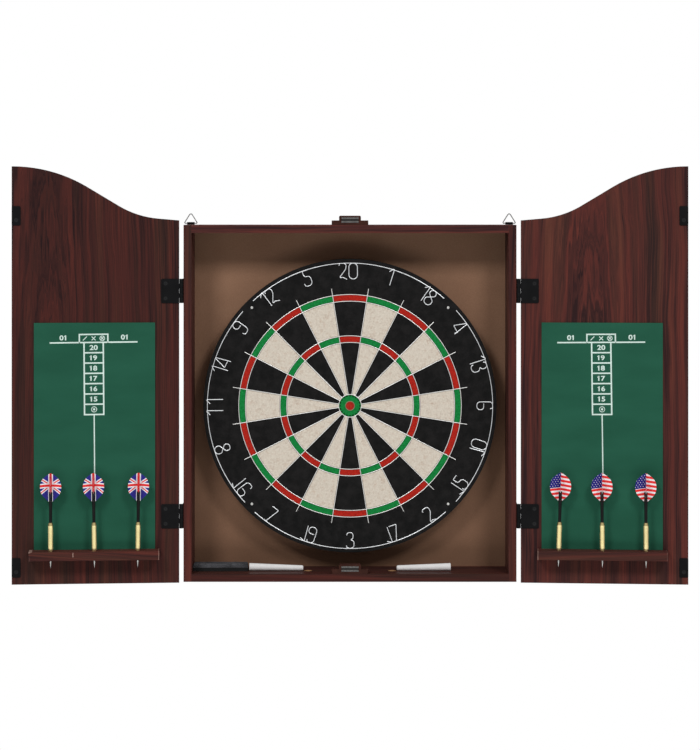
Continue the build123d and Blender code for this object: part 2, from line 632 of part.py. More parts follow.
def board_nail(turn):
    """A round-headed nail beside a gap of the number ring."""
    spot = Vector(NAIL_RING_R, 0, 0).rotate(Axis.Z, turn)
    plane = Plane(board_plane(FACE_Y).from_local_coords(spot), x_dir=(1, 0, 0), z_dir=(0, -1, 0))
    with BuildPart() as nail:
        with BuildSketch(plane):
            Circle(NAIL_R)
        extrude(amount=-NAIL_L)
        with BuildSketch(plane):
            Circle(NAIL_HEAD_R)
        extrude(amount=NAIL_HEAD_T)
        fillet(nail.faces().sort_by(Axis.Y)[0].edges(), NAIL_HEAD_T / 2)
    return nail.part


# The screw at the board's back, whose head hangs behind the U bracket's plate
plate_y = BOARD_BACK + PLATE_GAP
head_y = plate_y + PLATE_T + HEAD_GAP
with BuildPart() as hanging_screw:
    with BuildSketch(board_plane(head_y)):
        Circle(NECK_R)
    extrude(amount=head_y - BOARD_BACK + HANG_DEPTH)
    with BuildSketch(board_plane(head_y)):
        Circle(HEAD_R)
    extrude(amount=-HEAD_T)
save_group([board_nail(45 + 90 * i) for i in range(4)] + [hanging_screw.part], "board_fasteners")

slot_r = NECK_R + SLOT_CLEAR
plate_low, plate_high = BOARD_Z - PLATE_BELOW, BOARD_Z + PLATE_ABOVE
with BuildPart() as bracket:
    box_between((-PLATE_W / 2, plate_y, plate_low), (PLATE_W / 2, plate_y + PLATE_T, plate_high))
    for side in SIDES:
        edge, ear = side * PLATE_W / 2, side * (PLATE_W / 2 + BRACKET_EAR)
        box_between((edge, plate_y, plate_low), (edge - side * PLATE_T, -BACK_T, plate_high))
        box_between((edge - side * PLATE_T, -BACK_T - PLATE_T, plate_low), (ear, -BACK_T, plate_high))
    with BuildSketch(board_plane(plate_y)):
        Circle(slot_r)
        with Locations((0, PLATE_ABOVE / 2)):
            Rectangle(2 * slot_r, PLATE_ABOVE)
    extrude(amount=-PLATE_T, mode=Mode.SUBTRACT)
    with Locations(*[(x, -BACK_T - PLATE_T / 2, z) for x, z in rivet_spots]):
        Cylinder(RIVET_R, PLATE_T, rotation=(90, 0, 0), mode=Mode.SUBTRACT)


def rivet(x, z):
    """A rivet through a bracket's ear and the back panel."""
    with BuildPart() as made:
        with Locations((x, -(BACK_T + PLATE_T) / 2, z)):
            Cylinder(RIVET_R, BACK_T + PLATE_T, rotation=(90, 0, 0))
        with Locations((x, -BACK_T - PLATE_T - RIVET_HEAD_T / 2, z)):
            Cylinder(RIVET_HEAD_R, RIVET_HEAD_T, rotation=(90, 0, 0))
        fillet(made.faces().sort_by(Axis.Y)[0].edges(), RIVET_HEAD_T / 2)
    return made.part


save_group([bracket.part] + [rivet(x, z) for x, z in rivet_spots], "board_bracket")


# Darts: each stands in its own plane, with local y along the dart
def turned(plane, profile):
    """A turned piece from its half profile."""
    with BuildPart() as piece:
        with BuildSketch(plane):
            with BuildLine():
                Polyline(*profile, close=True)
            make_face()
        revolve(axis=Axis(plane.origin, plane.y_dir))
    return piece


def groove_steps():
    """The grip's grooves, up along the barrel."""
    steps = []
    for i in range(GROOVES):
        low = GROOVE_START + i * GROOVE_PITCH
        deep = BARREL_R - GROOVE_DEEP
        steps += [(BARREL_R, low), (deep, low), (deep, low + GROOVE_W), (BARREL_R, low + GROOVE_W)]
    return steps


for side in SIDES:
    middle = side * (PIN_OFF + DOOR_W / 2) + BOARD_SHIFT[side]
    for i in range(3):
        x = middle + (i - 1) * DART_PITCH
        lean = math.radians(DART_LEAN[side][i])
        door = door_plane(side)
        up = door.y_dir * math.cos(lean) + door.x_dir * math.sin(lean)
        across = door.x_dir * math.cos(lean) - door.y_dir * math.sin(lean)
        plane = Plane(door_point(side, x, RAIL_TOP, DART_OUT), x_dir=across, z_dir=door.z_dir)
        name = f"{NAME[side]}_dart_{i + 1}"
        top = BARREL_SEAT + BARREL_L

        point = turned(
            plane, [(0, -POINT_L), (POINT_R, POINT_TAPER - POINT_L), (POINT_R, POINT_IN), (0, POINT_IN)]
        )
        save(point, f"{name}_point")

        barrel = turned(
            plane,
            [(POINT_R, BARREL_SEAT), (NOSE_R, BARREL_SEAT), (BARREL_R, BARREL_SEAT + NOSE_L)]
            + groove_steps()
            + [(BARREL_R, top - NECK_L), (NECK_TOP_R, top), (THREAD_R, top), (THREAD_R, top - THREAD_L)]
            + [(0, top - THREAD_L), (0, POINT_IN), (POINT_R, POINT_IN)],
        )
        save(barrel, f"{name}_barrel")

        with BuildPart() as stem:
            with BuildSketch(plane):
                with BuildLine():
                    Polyline(
                        (0, top - THREAD_L), (THREAD_R, top - THREAD_L), (THREAD_R, top), (STEM_LOW_R, top),
                        (STEM_R, FLIGHT_LOW), (STEM_R, STEM_TOP), (0, STEM_TOP), close=True,
                    )
                make_face()
            revolve(axis=Axis(plane.origin, plane.y_dir))
            for slot in (plane, Plane(plane.origin, x_dir=plane.z_dir, z_dir=-plane.x_dir)):
                with BuildSketch(slot):
                    with Locations((0, (FLIGHT_LOW + STEM_TOP) / 2)):
                        Rectangle(3 * STEM_R, STEM_TOP - FLIGHT_LOW)
                extrude(amount=FLIGHT_T / 2, both=True, mode=Mode.SUBTRACT)
        save(stem, f"{name}_stem")

        rise = [(w, FLIGHT_LOW + h) for w, h in FLIGHT_HALF]
        crest = FLIGHT_LOW + FLIGHT_H
        with BuildPart() as flight:
            with BuildSketch(plane):
                with BuildLine():
                    Spline(*rise, (FLIGHT_FLAT, crest), tangents=((0.7, 0.7), (-0.85, 0.5)))
                    Polyline((FLIGHT_FLAT, crest), (0, crest), (0, FLIGHT_LOW), rise[0])
                make_face()
            revolve(axis=Axis(plane.origin, plane.y_dir))
            with BuildSketch(Plane(plane.origin, x_dir=across, z_dir=up)):
                for turn in (0, 90):
                    Rectangle(4 * rise[2][0], FLIGHT_T, rotation=turn)
            extrude(amount=2 * crest, mode=Mode.INTERSECT)
        save(flight, f"{name}_flight")

# Chalk lies on the bottom panel along its lower side, so its axis slopes
slope = math.atan((CHALK_R - CHALK_TIP_R) / CHALK_L)
for side in SIDES:
    start = Vector(side * CHALK_X, CHALK_Y, -IN_Z + CHALK_R * math.cos(slope))
    along = Vector(-side * math.cos(slope), 0, -math.sin(slope))
    with BuildPart() as chalk:
        with BuildSketch(Plane(start, x_dir=along, z_dir=(0, 1, 0))):
            with BuildLine():
                Polyline((0, 0), (CHALK_L, 0), (CHALK_L, CHALK_TIP_R), (0, CHALK_R), close=True)
            make_face()
        revolve(axis=Axis(start, along))
        tip, butt = chalk.edges().filter_by(GeomType.CIRCLE).sort_by(SortBy.RADIUS)
        fillet(butt, CHALK_ROUND)
        tip = chalk.edges().filter_by(GeomType.CIRCLE).sort_by_distance(start)[-1]
        fillet(tip, TIP_ROUND)
    save(chalk, f"{NAME[side]}_chalk")

block_top = -IN_Z + ERASER_H - FELT_T
eraser_high = (ERASER_X + ERASER_L, ERASER_Y + ERASER_W)
with BuildPart() as block:
    box_between((ERASER_X, ERASER_Y, -IN_Z), (*eraser_high, block_top))
    fillet(block.edges().filter_by(Axis.Z), ERASER_ROUND)
save(block, "eraser_block")

with BuildPart() as felt:
    box_between((ERASER_X, ERASER_Y, block_top), (*eraser_high, block_top + FELT_T))
    fillet(felt.edges().filter_by(Axis.Z), ERASER_ROUND)
    fillet(felt.faces().sort_by(Axis.Z)[-1].edges(), ERASER_ROUND)
save(felt, "eraser_felt")
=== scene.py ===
# %% [markdown]
# # A dart board cabinet, dressed in Blender
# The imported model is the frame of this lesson. It brings every panel, hinge, wire and dart in its
# place, in metres, with X to the right, Y towards the wall and Z up. The cells below give each
# piece its finish, and remake or add the few that solids with square edges can't show well: the
# round wires of the board, the felt of the eraser and the print on the score boards.

# %% Load the frame
import json
import math

import bmesh
import bpy
from mathutils import Matrix, Vector, noise


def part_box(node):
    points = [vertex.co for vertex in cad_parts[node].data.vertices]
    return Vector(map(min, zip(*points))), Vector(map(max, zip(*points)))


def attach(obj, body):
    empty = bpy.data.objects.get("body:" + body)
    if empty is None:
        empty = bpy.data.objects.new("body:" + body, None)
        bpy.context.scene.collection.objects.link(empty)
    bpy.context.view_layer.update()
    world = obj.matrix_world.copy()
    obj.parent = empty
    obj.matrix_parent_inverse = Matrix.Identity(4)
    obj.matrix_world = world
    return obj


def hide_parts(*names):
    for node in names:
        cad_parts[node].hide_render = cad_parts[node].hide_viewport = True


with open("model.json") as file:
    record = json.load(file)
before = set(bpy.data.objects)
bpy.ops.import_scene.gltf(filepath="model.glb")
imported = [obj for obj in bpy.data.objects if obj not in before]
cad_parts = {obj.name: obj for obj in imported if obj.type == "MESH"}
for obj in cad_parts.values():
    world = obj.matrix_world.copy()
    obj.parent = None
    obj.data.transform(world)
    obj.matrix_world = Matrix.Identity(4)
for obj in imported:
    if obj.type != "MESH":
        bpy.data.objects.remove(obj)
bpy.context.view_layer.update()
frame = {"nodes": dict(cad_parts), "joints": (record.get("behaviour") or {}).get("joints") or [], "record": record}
nodes = frame["nodes"]
MM = 0.001
SIDES = {"left": -1, "right": 1}


def put_in_scene(name, data):
    """A new object in the scene, from a mesh, curve, lamp or camera."""
    made = bpy.data.objects.new(name, data)
    bpy.context.scene.collection.objects.link(made)
    return made


# %% [markdown]
# ## The camera
# The photograph is taken from straight ahead, with the lens level with the upper third of the
# doors, so all upright edges stay upright. A view camera does that with a shift: the camera looks
# level and the picture is moved down. The lens is long, because the inner sides of the box hardly
# show. Both come from the sizes of the box in the picture.

# %% Camera
CAMERA_AWAY, CAMERA_HEIGHT = 3.783, 0.2997
LENS, SENSOR = 117.6, 36.0
PICTURE_SHIFT = -0.2267

camera = put_in_scene("camera", bpy.data.cameras.new("camera"))
camera.location = (0, -CAMERA_AWAY, CAMERA_HEIGHT)
camera.rotation_euler = (math.pi / 2, 0, 0)
camera.data.lens = LENS
camera.data.sensor_width = SENSOR
camera.data.shift_y = PICTURE_SHIFT
bpy.context.scene.camera = camera
bpy.context.scene.view_settings.view_transform = "Standard"
print("camera", tuple(camera.location))

# %% [markdown]
# ## Shader maths as Python
# A finish is a small calculation that runs at every point of a surface. Dragging nodes by hand hides
# that, so one class wraps a node's output, and plus, minus and the rest add Math nodes. The one
# method `node` adds any other node: first its settings, then what its sockets take.

# %% A wrapped socket
class Shade:
    """One output of a shader node, for use in expressions."""

    def __init__(self, tree, socket):
        self.tree, self.socket = tree, socket

    def node(self, kind, settings=(), sockets=(), output=0):
        made = self.tree.nodes.new("ShaderNode" + kind)
        for key, value in dict(settings).items():
            if key == "stops":
                ramp = made.color_ramp.elements
                while len(ramp) < len(value):
                    ramp.new(1.0)
                for stop, (place, colour) in zip(ramp, value):
                    stop.position, stop.color = place, colour
            else:
                setattr(made, key, value)
        for key, value in dict(sockets).items():
            feed(self.tree, made.inputs[key], value)
        return Shade(self.tree, made.outputs[output])

    def __add__(self, other): return work_out("ADD", self, other)
    def __radd__(self, other): return work_out("ADD", other, self)
    def __sub__(self, other): return work_out("SUBTRACT", self, other)
    def __rsub__(self, other): return work_out("SUBTRACT", other, self)
    def __mul__(self, other): return work_out("MULTIPLY", self, other)
    def __rmul__(self, other): return work_out("MULTIPLY", other, self)
    def __truediv__(self, other): return work_out("DIVIDE", self, other)
    def __rtruediv__(self, other): return work_out("DIVIDE", other, self)
    def __lt__(self, other): return work_out("LESS_THAN", self, other)
    def __gt__(self, other): return work_out("GREATER_THAN", self, other)
    def __mod__(self, other): return work_out("FLOORED_MODULO", self, other)
    def __rmod__(self, other): return work_out("FLOORED_MODULO", other, self)
    def __abs__(self): return work_out("ABSOLUTE", self)


def work_out(operation, *values):
    """A Math node on values, of which at least one is a wrapped socket."""
    shade = next(value for value in values if isinstance(value, Shade))
    return shade.node("Math", {"operation": operation}, dict(enumerate(values)))


def feed(tree, socket, value):
    """Link a wrapped socket to an input, or set the input to a plain value."""
    if isinstance(value, Shade):
        tree.links.new(value.socket, socket)
    else:
        socket.default_value = value


print("operators ready")

# %% [markdown]
# ## Starting a finish
# Each finish starts from a Principled shader and the place of the shaded point. Object coordinates
# are the frame's own metres, and they travel with a door when it swings, so a grain line stays on
# its board. Colours are written as the eye reads them, from 0 to 255, and turned into light here.

# %% Helpers for finishes
def paint(red, green, blue):
    """A colour as seen on a screen, from 0 to 255, as linear light."""
    seen = [c / 255 for c in (red, green, blue)]
    return (*[c / 12.92 if c <= 0.04045 else ((c + 0.055) / 1.055) ** 2.4 for c in seen], 1.0)


def toned(colour, share):
    """A colour as seen on a screen, made lighter or darker."""
    return paint(*[c * share for c in colour])


def start(name, **constants):
    """A new finish: its Principled shader and the place of the shaded point."""
    material = bpy.data.materials.new(name)
    material.use_nodes = True
    tree = material.node_tree
    shader = tree.nodes["Principled BSDF"]
    for key, value in constants.items():
        shader.inputs[key.replace("_", " ").title().replace("Ior", "IOR")].default_value = value
    return material, shader, Shade(tree, tree.nodes.new("ShaderNodeTexCoord").outputs["Object"])


def connect(place, shader, **results):
    """Feed finished values to the shader's sockets."""
    for key, value in results.items():
        feed(place.tree, shader.inputs[key.replace("_", " ").title()], value)


def xyz(place):
    """The three numbers of a place."""
    return [place.node("SeparateXYZ", (), {0: place}, i) for i in range(3)]


def point(u, v, w):
    """A place made of three values, of which the first is a wrapped socket."""
    return u.node("CombineXYZ", (), {0: u, 1: v, 2: w})


def facing(place):
    """The direction in which the surface faces."""
    return Shade(place.tree, place.socket.node.outputs["Normal"])


def cloud(place, scale, detail=2.0, rough=0.5):
    """Noise between 0 and 1, with blobs of about 1 / scale metres."""
    sockets = {"Vector": place, "Scale": scale, "Detail": detail, "Roughness": rough}
    return place.node("TexNoise", (), sockets)


def spread(value, low, high, to_low=0.0, to_high=1.0):
    """A value's range stretched to another range, and held there."""
    sockets = {"Value": value, "From Min": low, "From Max": high, "To Min": to_low, "To Max": to_high}
    return value.node("MapRange", (), sockets)


def over(mask, below, above):
    """One colour over another, where the mask says."""
    return mask.node("Mix", {"data_type": "RGBA"}, {0: mask, 6: below, 7: above}, 2)


def ramp(value, *stops):
    """A colour chosen by a value."""
    return value.node("ValToRGB", {"stops": stops}, {0: value})


def relief(height, depth, strength=1.0):
    """A bump from a height between 0 and 1, depth metres deep."""
    return height.node("Bump", (), {"Height": height, "Distance": depth, "Strength": strength})


def wear(*names):
    """Say which pieces a finish goes on."""
    def put(material):
        for name in names:
            slots = nodes[name].data.materials
            slots.clear()
            slots.append(material)
        print(material.name, "on", len(names), "pieces")
    return put


def ending(tail):
    """The names of all pieces that end in the same way."""
    return [name for name in nodes if name.endswith(tail)]


print("finish helpers ready")

# %% [markdown]
# ## Cherry foil
# The boards are fibreboard wrapped in a printed foil of dark cherry. On the real foil a log was cut
# lengthwise: tall nested arches run up the middle of the cut, and straight streaks beside them. A
# long ellipse has the arches' shape, so noise is read at an ellipse's radius across the grain and
# is stretched along it. Three layers follow: broad red and dark streaks, thin lines, and pores.

# %% Cherry foil
ARCH_SLENDER = 0.08  # how much shorter an arch is across the grain than along it
ARCH_LEAN = 0.3  # keeps the two sides of an arch from being mirror images
DEPTH_STEP = 0.8  # sideways shift of the figure with depth, so that an edge has its own streaks
BEND, WANDER, TEAR = 0.012, 0.3, 0.24  # metres by which lines bend, arches wander and their tops tear
BROAD, THIN, PORE = (0.011, 0.55, 2.0), (0.0022, 0.2, 3.0), (0.0008, 0.05, 2.0)  # width, length, detail
HUE_PATCH = (0.024, 0.4, 2.0)
BROAD_SHARE, THIN_SHARE, PORE_SHARE = 0.42, 0.38, 0.20
FIGURE_STOPS = 0.41, 0.47, 0.53, 0.62  # for the four shades, from the darkest to the lightest
RED_FIGURE = (41, 26, 27), (60, 35, 33), (79, 41, 37), (98, 50, 42)
BROWN_FIGURE = (42, 30, 29), (56, 37, 33), (69, 43, 37), (88, 53, 43)
LINE_DARK, LINE_COVER, LINE_DEPTH = 0.85, 0.5, 0.06 * MM
FOIL_SHINE = 0.04
EDGE_TURN, EDGE_DARK = 0.8, paint(28, 16, 15)
FACE_ROUGH, EDGE_ROUGH = 0.43, 1.0


def cherry_grain(name, upright, heart, foot, tone, seed):
    """Foil with its grain upright or level; heart and foot place the arches' middle line and base."""
    material, shader, place = start(name, specular_ior_level=FOIL_SHINE)
    x, y, z = xyz(place)
    along, across = (z, x) if upright else (x, z)
    side = across + y * DEPTH_STEP - heart
    drift = cloud(point(side * 2, along, seed), 5.0)
    ragged = cloud(point(side * 150, along * 6, seed), 1.0, 3.0)
    bent = side + (drift - 0.5) * BEND
    height = along - foot + (drift - 0.5) * WANDER + (ragged - 0.5) * TEAR
    rise = work_out("MAXIMUM", height, 0) * ARCH_SLENDER
    radius = work_out("SQRT", bent * bent + rise * rise) + bent * ARCH_LEAN

    def streak(width, length, detail):
        return cloud(point(radius * (1 / width), along * (1 / length), seed), 1.0, detail, 0.55)

    broad, thin, pore = streak(*BROAD), streak(*THIN), streak(*PORE)
    figure = broad * BROAD_SHARE + thin * THIN_SHARE + pore * PORE_SHARE
    lively = spread(cloud(point(side * 5, along, seed + 7), 4.0), 0.35, 0.65, 0.55, 0.95)
    figure = (figure - 0.5) * lively + 0.5
    hues = []
    for shades in (RED_FIGURE, BROWN_FIGURE):
        hues.append(ramp(figure, *zip(FIGURE_STOPS, [toned(shade, tone) for shade in shades])))
    wood = over(spread(streak(*HUE_PATCH), 0.46, 0.7), *hues)
    lines = spread(thin, 0.60, 0.70) * spread(pore, 0.35, 0.6)
    colour = over(lines * LINE_COVER, wood, toned(BROWN_FIGURE[0], tone * LINE_DARK))
    connect(
        place, shader, base_color=colour, roughness=spread(figure, 0.35, 0.7, 0.48, 0.38),
        normal=relief(1 - lines, LINE_DEPTH),
    )
    return material, shader, place, colour


def cherry_foil(name, upright, **settings):
    """Foil with nothing laid over its grain."""
    return cherry_grain(name, upright, **settings)[0]


def door_foil(side, **settings):
    """Foil on a door's faces; its edges are darker."""
    material, shader, place, colour = cherry_grain(f"{side}_door_foil", True, **settings)
    edge = abs(xyz(facing(place))[1]) < EDGE_TURN
    connect(
        place, shader, base_color=over(edge, colour, EDGE_DARK),
        roughness=edge * (EDGE_ROUGH - FACE_ROUGH) + FACE_ROUGH,
    )
    return material


# The doors' tones are painted light and shade: the right door is made lighter than the left.
wear("left_door_panel")(door_foil("left", heart=-0.525, foot=-0.10, tone=0.98, seed=5.9))
wear("right_door_panel")(door_foil("right", heart=0.296, foot=-0.12, tone=1.13, seed=2.2))
wear("left_side_panel", "right_side_panel")(
    cherry_foil("side_foil", True, heart=0.62, foot=0.0, tone=1.05, seed=1.7)
)
wear("top_panel")(cherry_foil("top_foil", False, heart=0.36, foot=0.0, tone=1.18, seed=9.2))

# %% [markdown]
# ## The bottom panel and the rails
# Two blind holes for chalk are drilled through the foil of the bottom panel, and bare fibreboard
# shows in them. The rails are wrapped strips, and where the wrap ends it lets a light line of
# fibreboard show. One rail has lost a small wedge of foil at its upper corner. All of these are
# masks made from distances, laid over the same grain.

# %% Bottom panel with its drilled holes
BARE_DARK, BARE = paint(140, 104, 72), paint(176, 138, 100)
HOLES = [m for m in frame["record"]["mounts"] if m["name"].startswith("chalk_hole")]
HOLE_EDGE, HOLE_DEEP = 0.25 * MM, 8.5 * MM
floor_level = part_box("bottom_panel")[1].z


def drilled_foil():
    """The grain of the bottom panel, with bare fibreboard in its holes."""
    # The low tone is painted shade: the bottom panel is made darker than the panels above it.
    settings = {"heart": -0.40, "foot": 0.1, "tone": 0.9, "seed": 5.5}
    material, shader, place, colour = cherry_grain("bottom_foil", False, **settings)
    x, y, z = xyz(place)
    bare = ramp(cloud(place, 1800.0, 3.0), (0.3, BARE_DARK), (0.7, BARE))
    for hole in HOLES:
        east, north = x - hole["pos_m"][0], y - hole["pos_m"][1]
        reach = work_out("SQRT", east * east + north * north)
        inside = reach < hole["dims"]["r_mm"] * MM + HOLE_EDGE
        deep = (z < floor_level + HOLE_EDGE) * (z > floor_level - HOLE_DEEP)
        colour = over(inside * deep, colour, bare)
    connect(place, shader, base_color=colour)
    return material


wear("bottom_panel")(drilled_foil())

# %% [markdown]
# A door's own directions are needed for everything that lies on it: its pin from the record's hinge,
# and the few degrees by which a door at rest stays short of flat.

# %% Where a door lies
DOOR_SHORT = math.radians(4.5)


def door_axes(side):
    """A door's pin, and its directions to the right, up and out of its inner face."""
    s = SIDES[side]
    pin = next(Vector(j["pos_m"]) for j in frame["joints"] if j["name"] == f"{side}_door_hinge")
    right = Vector((math.cos(DOOR_SHORT), -s * math.sin(DOOR_SHORT), 0))
    out = Vector((-s * math.sin(DOOR_SHORT), -math.cos(DOOR_SHORT), 0))
    return pin, right, Vector((0, 0, 1)), out


def middle_of(name):
    """The middle of a piece's box."""
    low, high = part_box(name)
    return (low + high) / 2


def measure(place, origin, direction):
    """How far the shaded point is from an origin in one direction."""
    from_origin = place.node("VectorMath", {"operation": "SUBTRACT"}, {0: place, 1: origin})
    return place.node("VectorMath", {"operation": "DOT_PRODUCT"}, {0: from_origin, 1: direction}, 1)


print("door pins at", [tuple(door_axes(side)[0]) for side in SIDES])

# %% Rails
RAIL_HALF = 97.5 * MM
WRAP_IN, WRAP_HALF = 1.3 * MM, 0.36 * MM  # the light line's distance from an end, and half its width
RAGGED = 1.2 * MM
CHIP_L, CHIP_H = 5.0 * MM, 1.4 * MM
NICK_X, NICK_Z = -31.5 * MM, 2.2 * MM
NICK_HALF_W, NICK_HALF_H = 0.6 * MM, 3.4 * MM
INNER_WEAR = 0.75  # the end beside the box is worn more
TORN, TORN_COVER = paint(176, 146, 134), 0.7


def rail_foil(side):
    """The grain of a rail, with the fibreboard that shows where its wrap ends."""
    settings = {"heart": -1.2, "foot": 0.0, "tone": 1.08, "seed": 2.0 + SIDES[side]}
    material, shader, place, colour = cherry_grain(f"{side}_rail_foil", False, **settings)
    _, right, up, _ = door_axes(side)
    middle = middle_of(f"{side}_dart_rail")
    along, high = measure(place, middle, right), measure(place, middle, up)
    ragged = (cloud(place, 700.0) - 0.5) * RAGGED
    wrap = abs(abs(along) - (RAIL_HALF - WRAP_IN) + ragged * 0.5) < WRAP_HALF
    inner = (along * -SIDES[side]) > 0
    rubbed = spread(cloud(place, 220.0), 0.32, 0.5)
    worn = wrap * (rubbed * (1 - INNER_WEAR) + inner * INNER_WEAR)
    if side == "left":
        from_end = along + RAIL_HALF
        from_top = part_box("left_dart_rail")[1].z - middle.z - high
        chip = from_top + from_end * (CHIP_H / CHIP_L) + ragged < CHIP_H
        chip = chip * (from_end < CHIP_L)
        nick = abs(along - NICK_X + ragged) < NICK_HALF_W
        nick = nick * (abs(high - NICK_Z) < NICK_HALF_H)
        worn = work_out("MAXIMUM", worn, work_out("MAXIMUM", chip, nick))
    connect(place, shader, base_color=over(worn * TORN_COVER, colour, TORN))
    return material


for side in SIDES:
    wear(f"{side}_dart_rail")(rail_foil(side))

# %% [markdown]
# ## Hardboard
# The back of the box is thin brown hardboard. Its smooth face is pressed from fibres, so the colour
# wanders a little in patches the size of a hand, and fine hairs show close by.
# Its colour is also painted paler towards the top, as painted light.

# %% Hardboard
PAINTED_LIGHT_RISE = 0.6  # painted light: the panel is painted paler towards its top
BROWNS = paint(108, 80, 62), paint(132, 99, 78), paint(156, 121, 97)


def hardboard():
    material, shader, place = start("hardboard_face", specular_ior_level=0.08)
    patch, hair = cloud(place, 9.0, 3.0), cloud(place, 900.0, 4.0, 0.65)
    # The height term is painted light; the patches and hairs are the board's own tone.
    tone = patch * 0.5 + hair * 0.5 + xyz(place)[2] * PAINTED_LIGHT_RISE
    connect(
        place, shader, base_color=ramp(tone, *zip((0.2, 0.5, 0.8), BROWNS)),
        roughness=spread(hair, 0.3, 0.7, 0.55, 0.72), normal=relief(hair, 0.08 * MM),
    )
    return material


wear("back_panel")(hardboard())

# %% [markdown]
# ## Sisal
# The board is pressed from sisal fibres that stand on end, so its face is a fine velvet of fibre
# tips. The colours are dyed in twenty wedges, with a treble and a double band and two rings at the
# middle. Angle and radius from the board's middle give every one of these borders, so nothing has
# to be painted by hand. The pale wedges are flecked with darker fibres.

# %% Dyed sisal
WEDGES = 20
WIRE_SHADE_HALF, SPIDER_END = 1.15, 181.0  # half the width of the painted shade along a wire, and where a wire ends
RADII = {"double": (159.8, 170), "treble": (96.8, 107), "outer bull": 17.3, "bull": 6.6}
STITCH_R, STITCH_HALF = 15.7, 1.5  # a ring of dark dashes in the outer bull
board_middle = middle_of("sisal_disc")


def dyed_sisal():
    """All the dyes of the board, placed by angle and by radius in millimetres."""
    material, shader, place = start("dyed_sisal", specular_ior_level=0.04)
    x, y, z = xyz(place)
    east, north = x - board_middle.x, z - board_middle.z
    radius = work_out("SQRT", east * east + north * north) * 1000
    turn = work_out("ARCTAN2", east, north) * (WEDGES / math.tau) + (WEDGES + 0.5)
    pale = (turn % 2) > 1
    tips = place.node("TexVoronoi", (), {"Vector": place, "Scale": 1500.0})
    tuft, fleck = cloud(place, 420.0, 4.0, 0.6), cloud(place, 330.0, 2.0, 0.6)
    stain, blot = cloud(place, 90.0, 3.0), cloud(place, 170.0, 4.0, 0.65)
    dye = spread(tuft, 0.3, 0.7)
    dirt = spread(fleck, 0.5, 0.72) * spread(stain, 0.42, 0.66, 0.05, 0.5)
    cream = over(dye, paint(208, 197, 181), paint(227, 218, 204))
    cream = over(spread(blot, 0.52, 0.7) * 0.5, cream, paint(196, 168, 146))
    cream = over(dirt, cream, paint(166, 136, 112))
    ink = over(spread(tuft * 0.4 + stain * 0.6, 0.4, 0.62), paint(24, 24, 24), paint(35, 34, 34))
    red = over(dye, paint(148, 31, 24), paint(194, 46, 34))
    bull_red = over(dye, paint(148, 35, 27), paint(188, 51, 38))
    green = over(dye, paint(16, 108, 50), paint(31, 142, 70))
    bands = RADII["double"], RADII["treble"]
    band = sum((radius > low) * (radius < high) for low, high in bands)
    colour = over(band, over(pale, ink, cream), over(pale, red, green))
    colour = over(radius < RADII["outer bull"], colour, green)
    dash = work_out("COSINE", turn * math.tau) < 0.0
    stitch = (abs(radius - STITCH_R) < STITCH_HALF) * dash
    colour = over(stitch * 0.9, colour, paint(10, 20, 13))
    colour = over(radius < RADII["bull"], colour, bull_red)
    colour = over(radius > RADII["double"][1], colour, ink)
    # Painted shade: a thin dark line along each wire and ring, where a wire's shadow falls on the sisal.
    beside = abs((turn + 0.5) % 1 - 0.5) * radius * (math.tau / WEDGES)
    painted_wire_shade = (beside < WIRE_SHADE_HALF) * (radius < SPIDER_END) * (radius > RADII["outer bull"])
    for ring in RADII["double"] + RADII["treble"]:
        painted_wire_shade = work_out("MAXIMUM", painted_wire_shade, abs(radius - ring) < WIRE_SHADE_HALF)
    colour = over(painted_wire_shade * 0.6, colour, paint(30, 27, 25))
    connect(
        place, shader, base_color=colour, roughness=spread(tuft, 0.3, 0.7, 0.8, 0.95),
        normal=relief(tips * 0.6 + tuft * 0.4, 0.25 * MM, 0.45),
    )
    return material


wear("sisal_disc")(dyed_sisal())

# %% [markdown]
# ## Round wires
# The spider and the number ring are bent from drawn wire. The frame's wires have square sides, which
# is enough for a solid, but a real wire catches light along a thin line. A curve with a round bevel
# gives that, so both are remade on the same lines. Each number is a list of corners in a box 12 wide
# and 24 high, and every corner is bent round a radius, as pliers do.

# %% Bending wire
ARC_STEPS = 6
FACE_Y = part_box("sisal_disc")[0].y


def bent_wire(points, radii, closed=False):
    """A line whose corners are bent round a radius."""
    line = [Vector(p) for p in points]
    corners = range(len(line)) if closed else range(1, len(line) - 1)
    radii = radii if isinstance(radii, list) else [radii] * len(corners)
    made = [] if closed else [line[0]]
    for i, radius in zip(corners, radii):
        arms = [(line[j % len(line)] - line[i]).normalized() for j in (i - 1, i + 1)]
        half = arms[0].angle(arms[1]) / 2
        centre = line[i] + (arms[0] + arms[1]).normalized() * radius / math.sin(half)
        spokes = [line[i] + arm * radius / math.tan(half) - centre for arm in arms]
        for step in range(ARC_STEPS + 1):
            made.append(centre + spokes[0].slerp(spokes[1], step / ARC_STEPS) * radius)
    return made if closed else made + [line[-1]]


def on_ring(radius, turn):
    """A flat point at a radius, and at an angle from the top."""
    return Vector((radius * math.sin(turn), radius * math.cos(turn)))


def ring_wire(radius, steps=160):
    """A closed ring."""
    return [on_ring(radius, math.tau * i / steps) for i in range(steps)]


def keep_mesh(curve_object, name):
    """A mesh in the place of a curve or text object."""
    evaluated = curve_object.evaluated_get(bpy.context.evaluated_depsgraph_get())
    mesh = bpy.data.meshes.new_from_object(evaluated)
    bpy.data.objects.remove(curve_object)
    return put_in_scene(name, mesh)


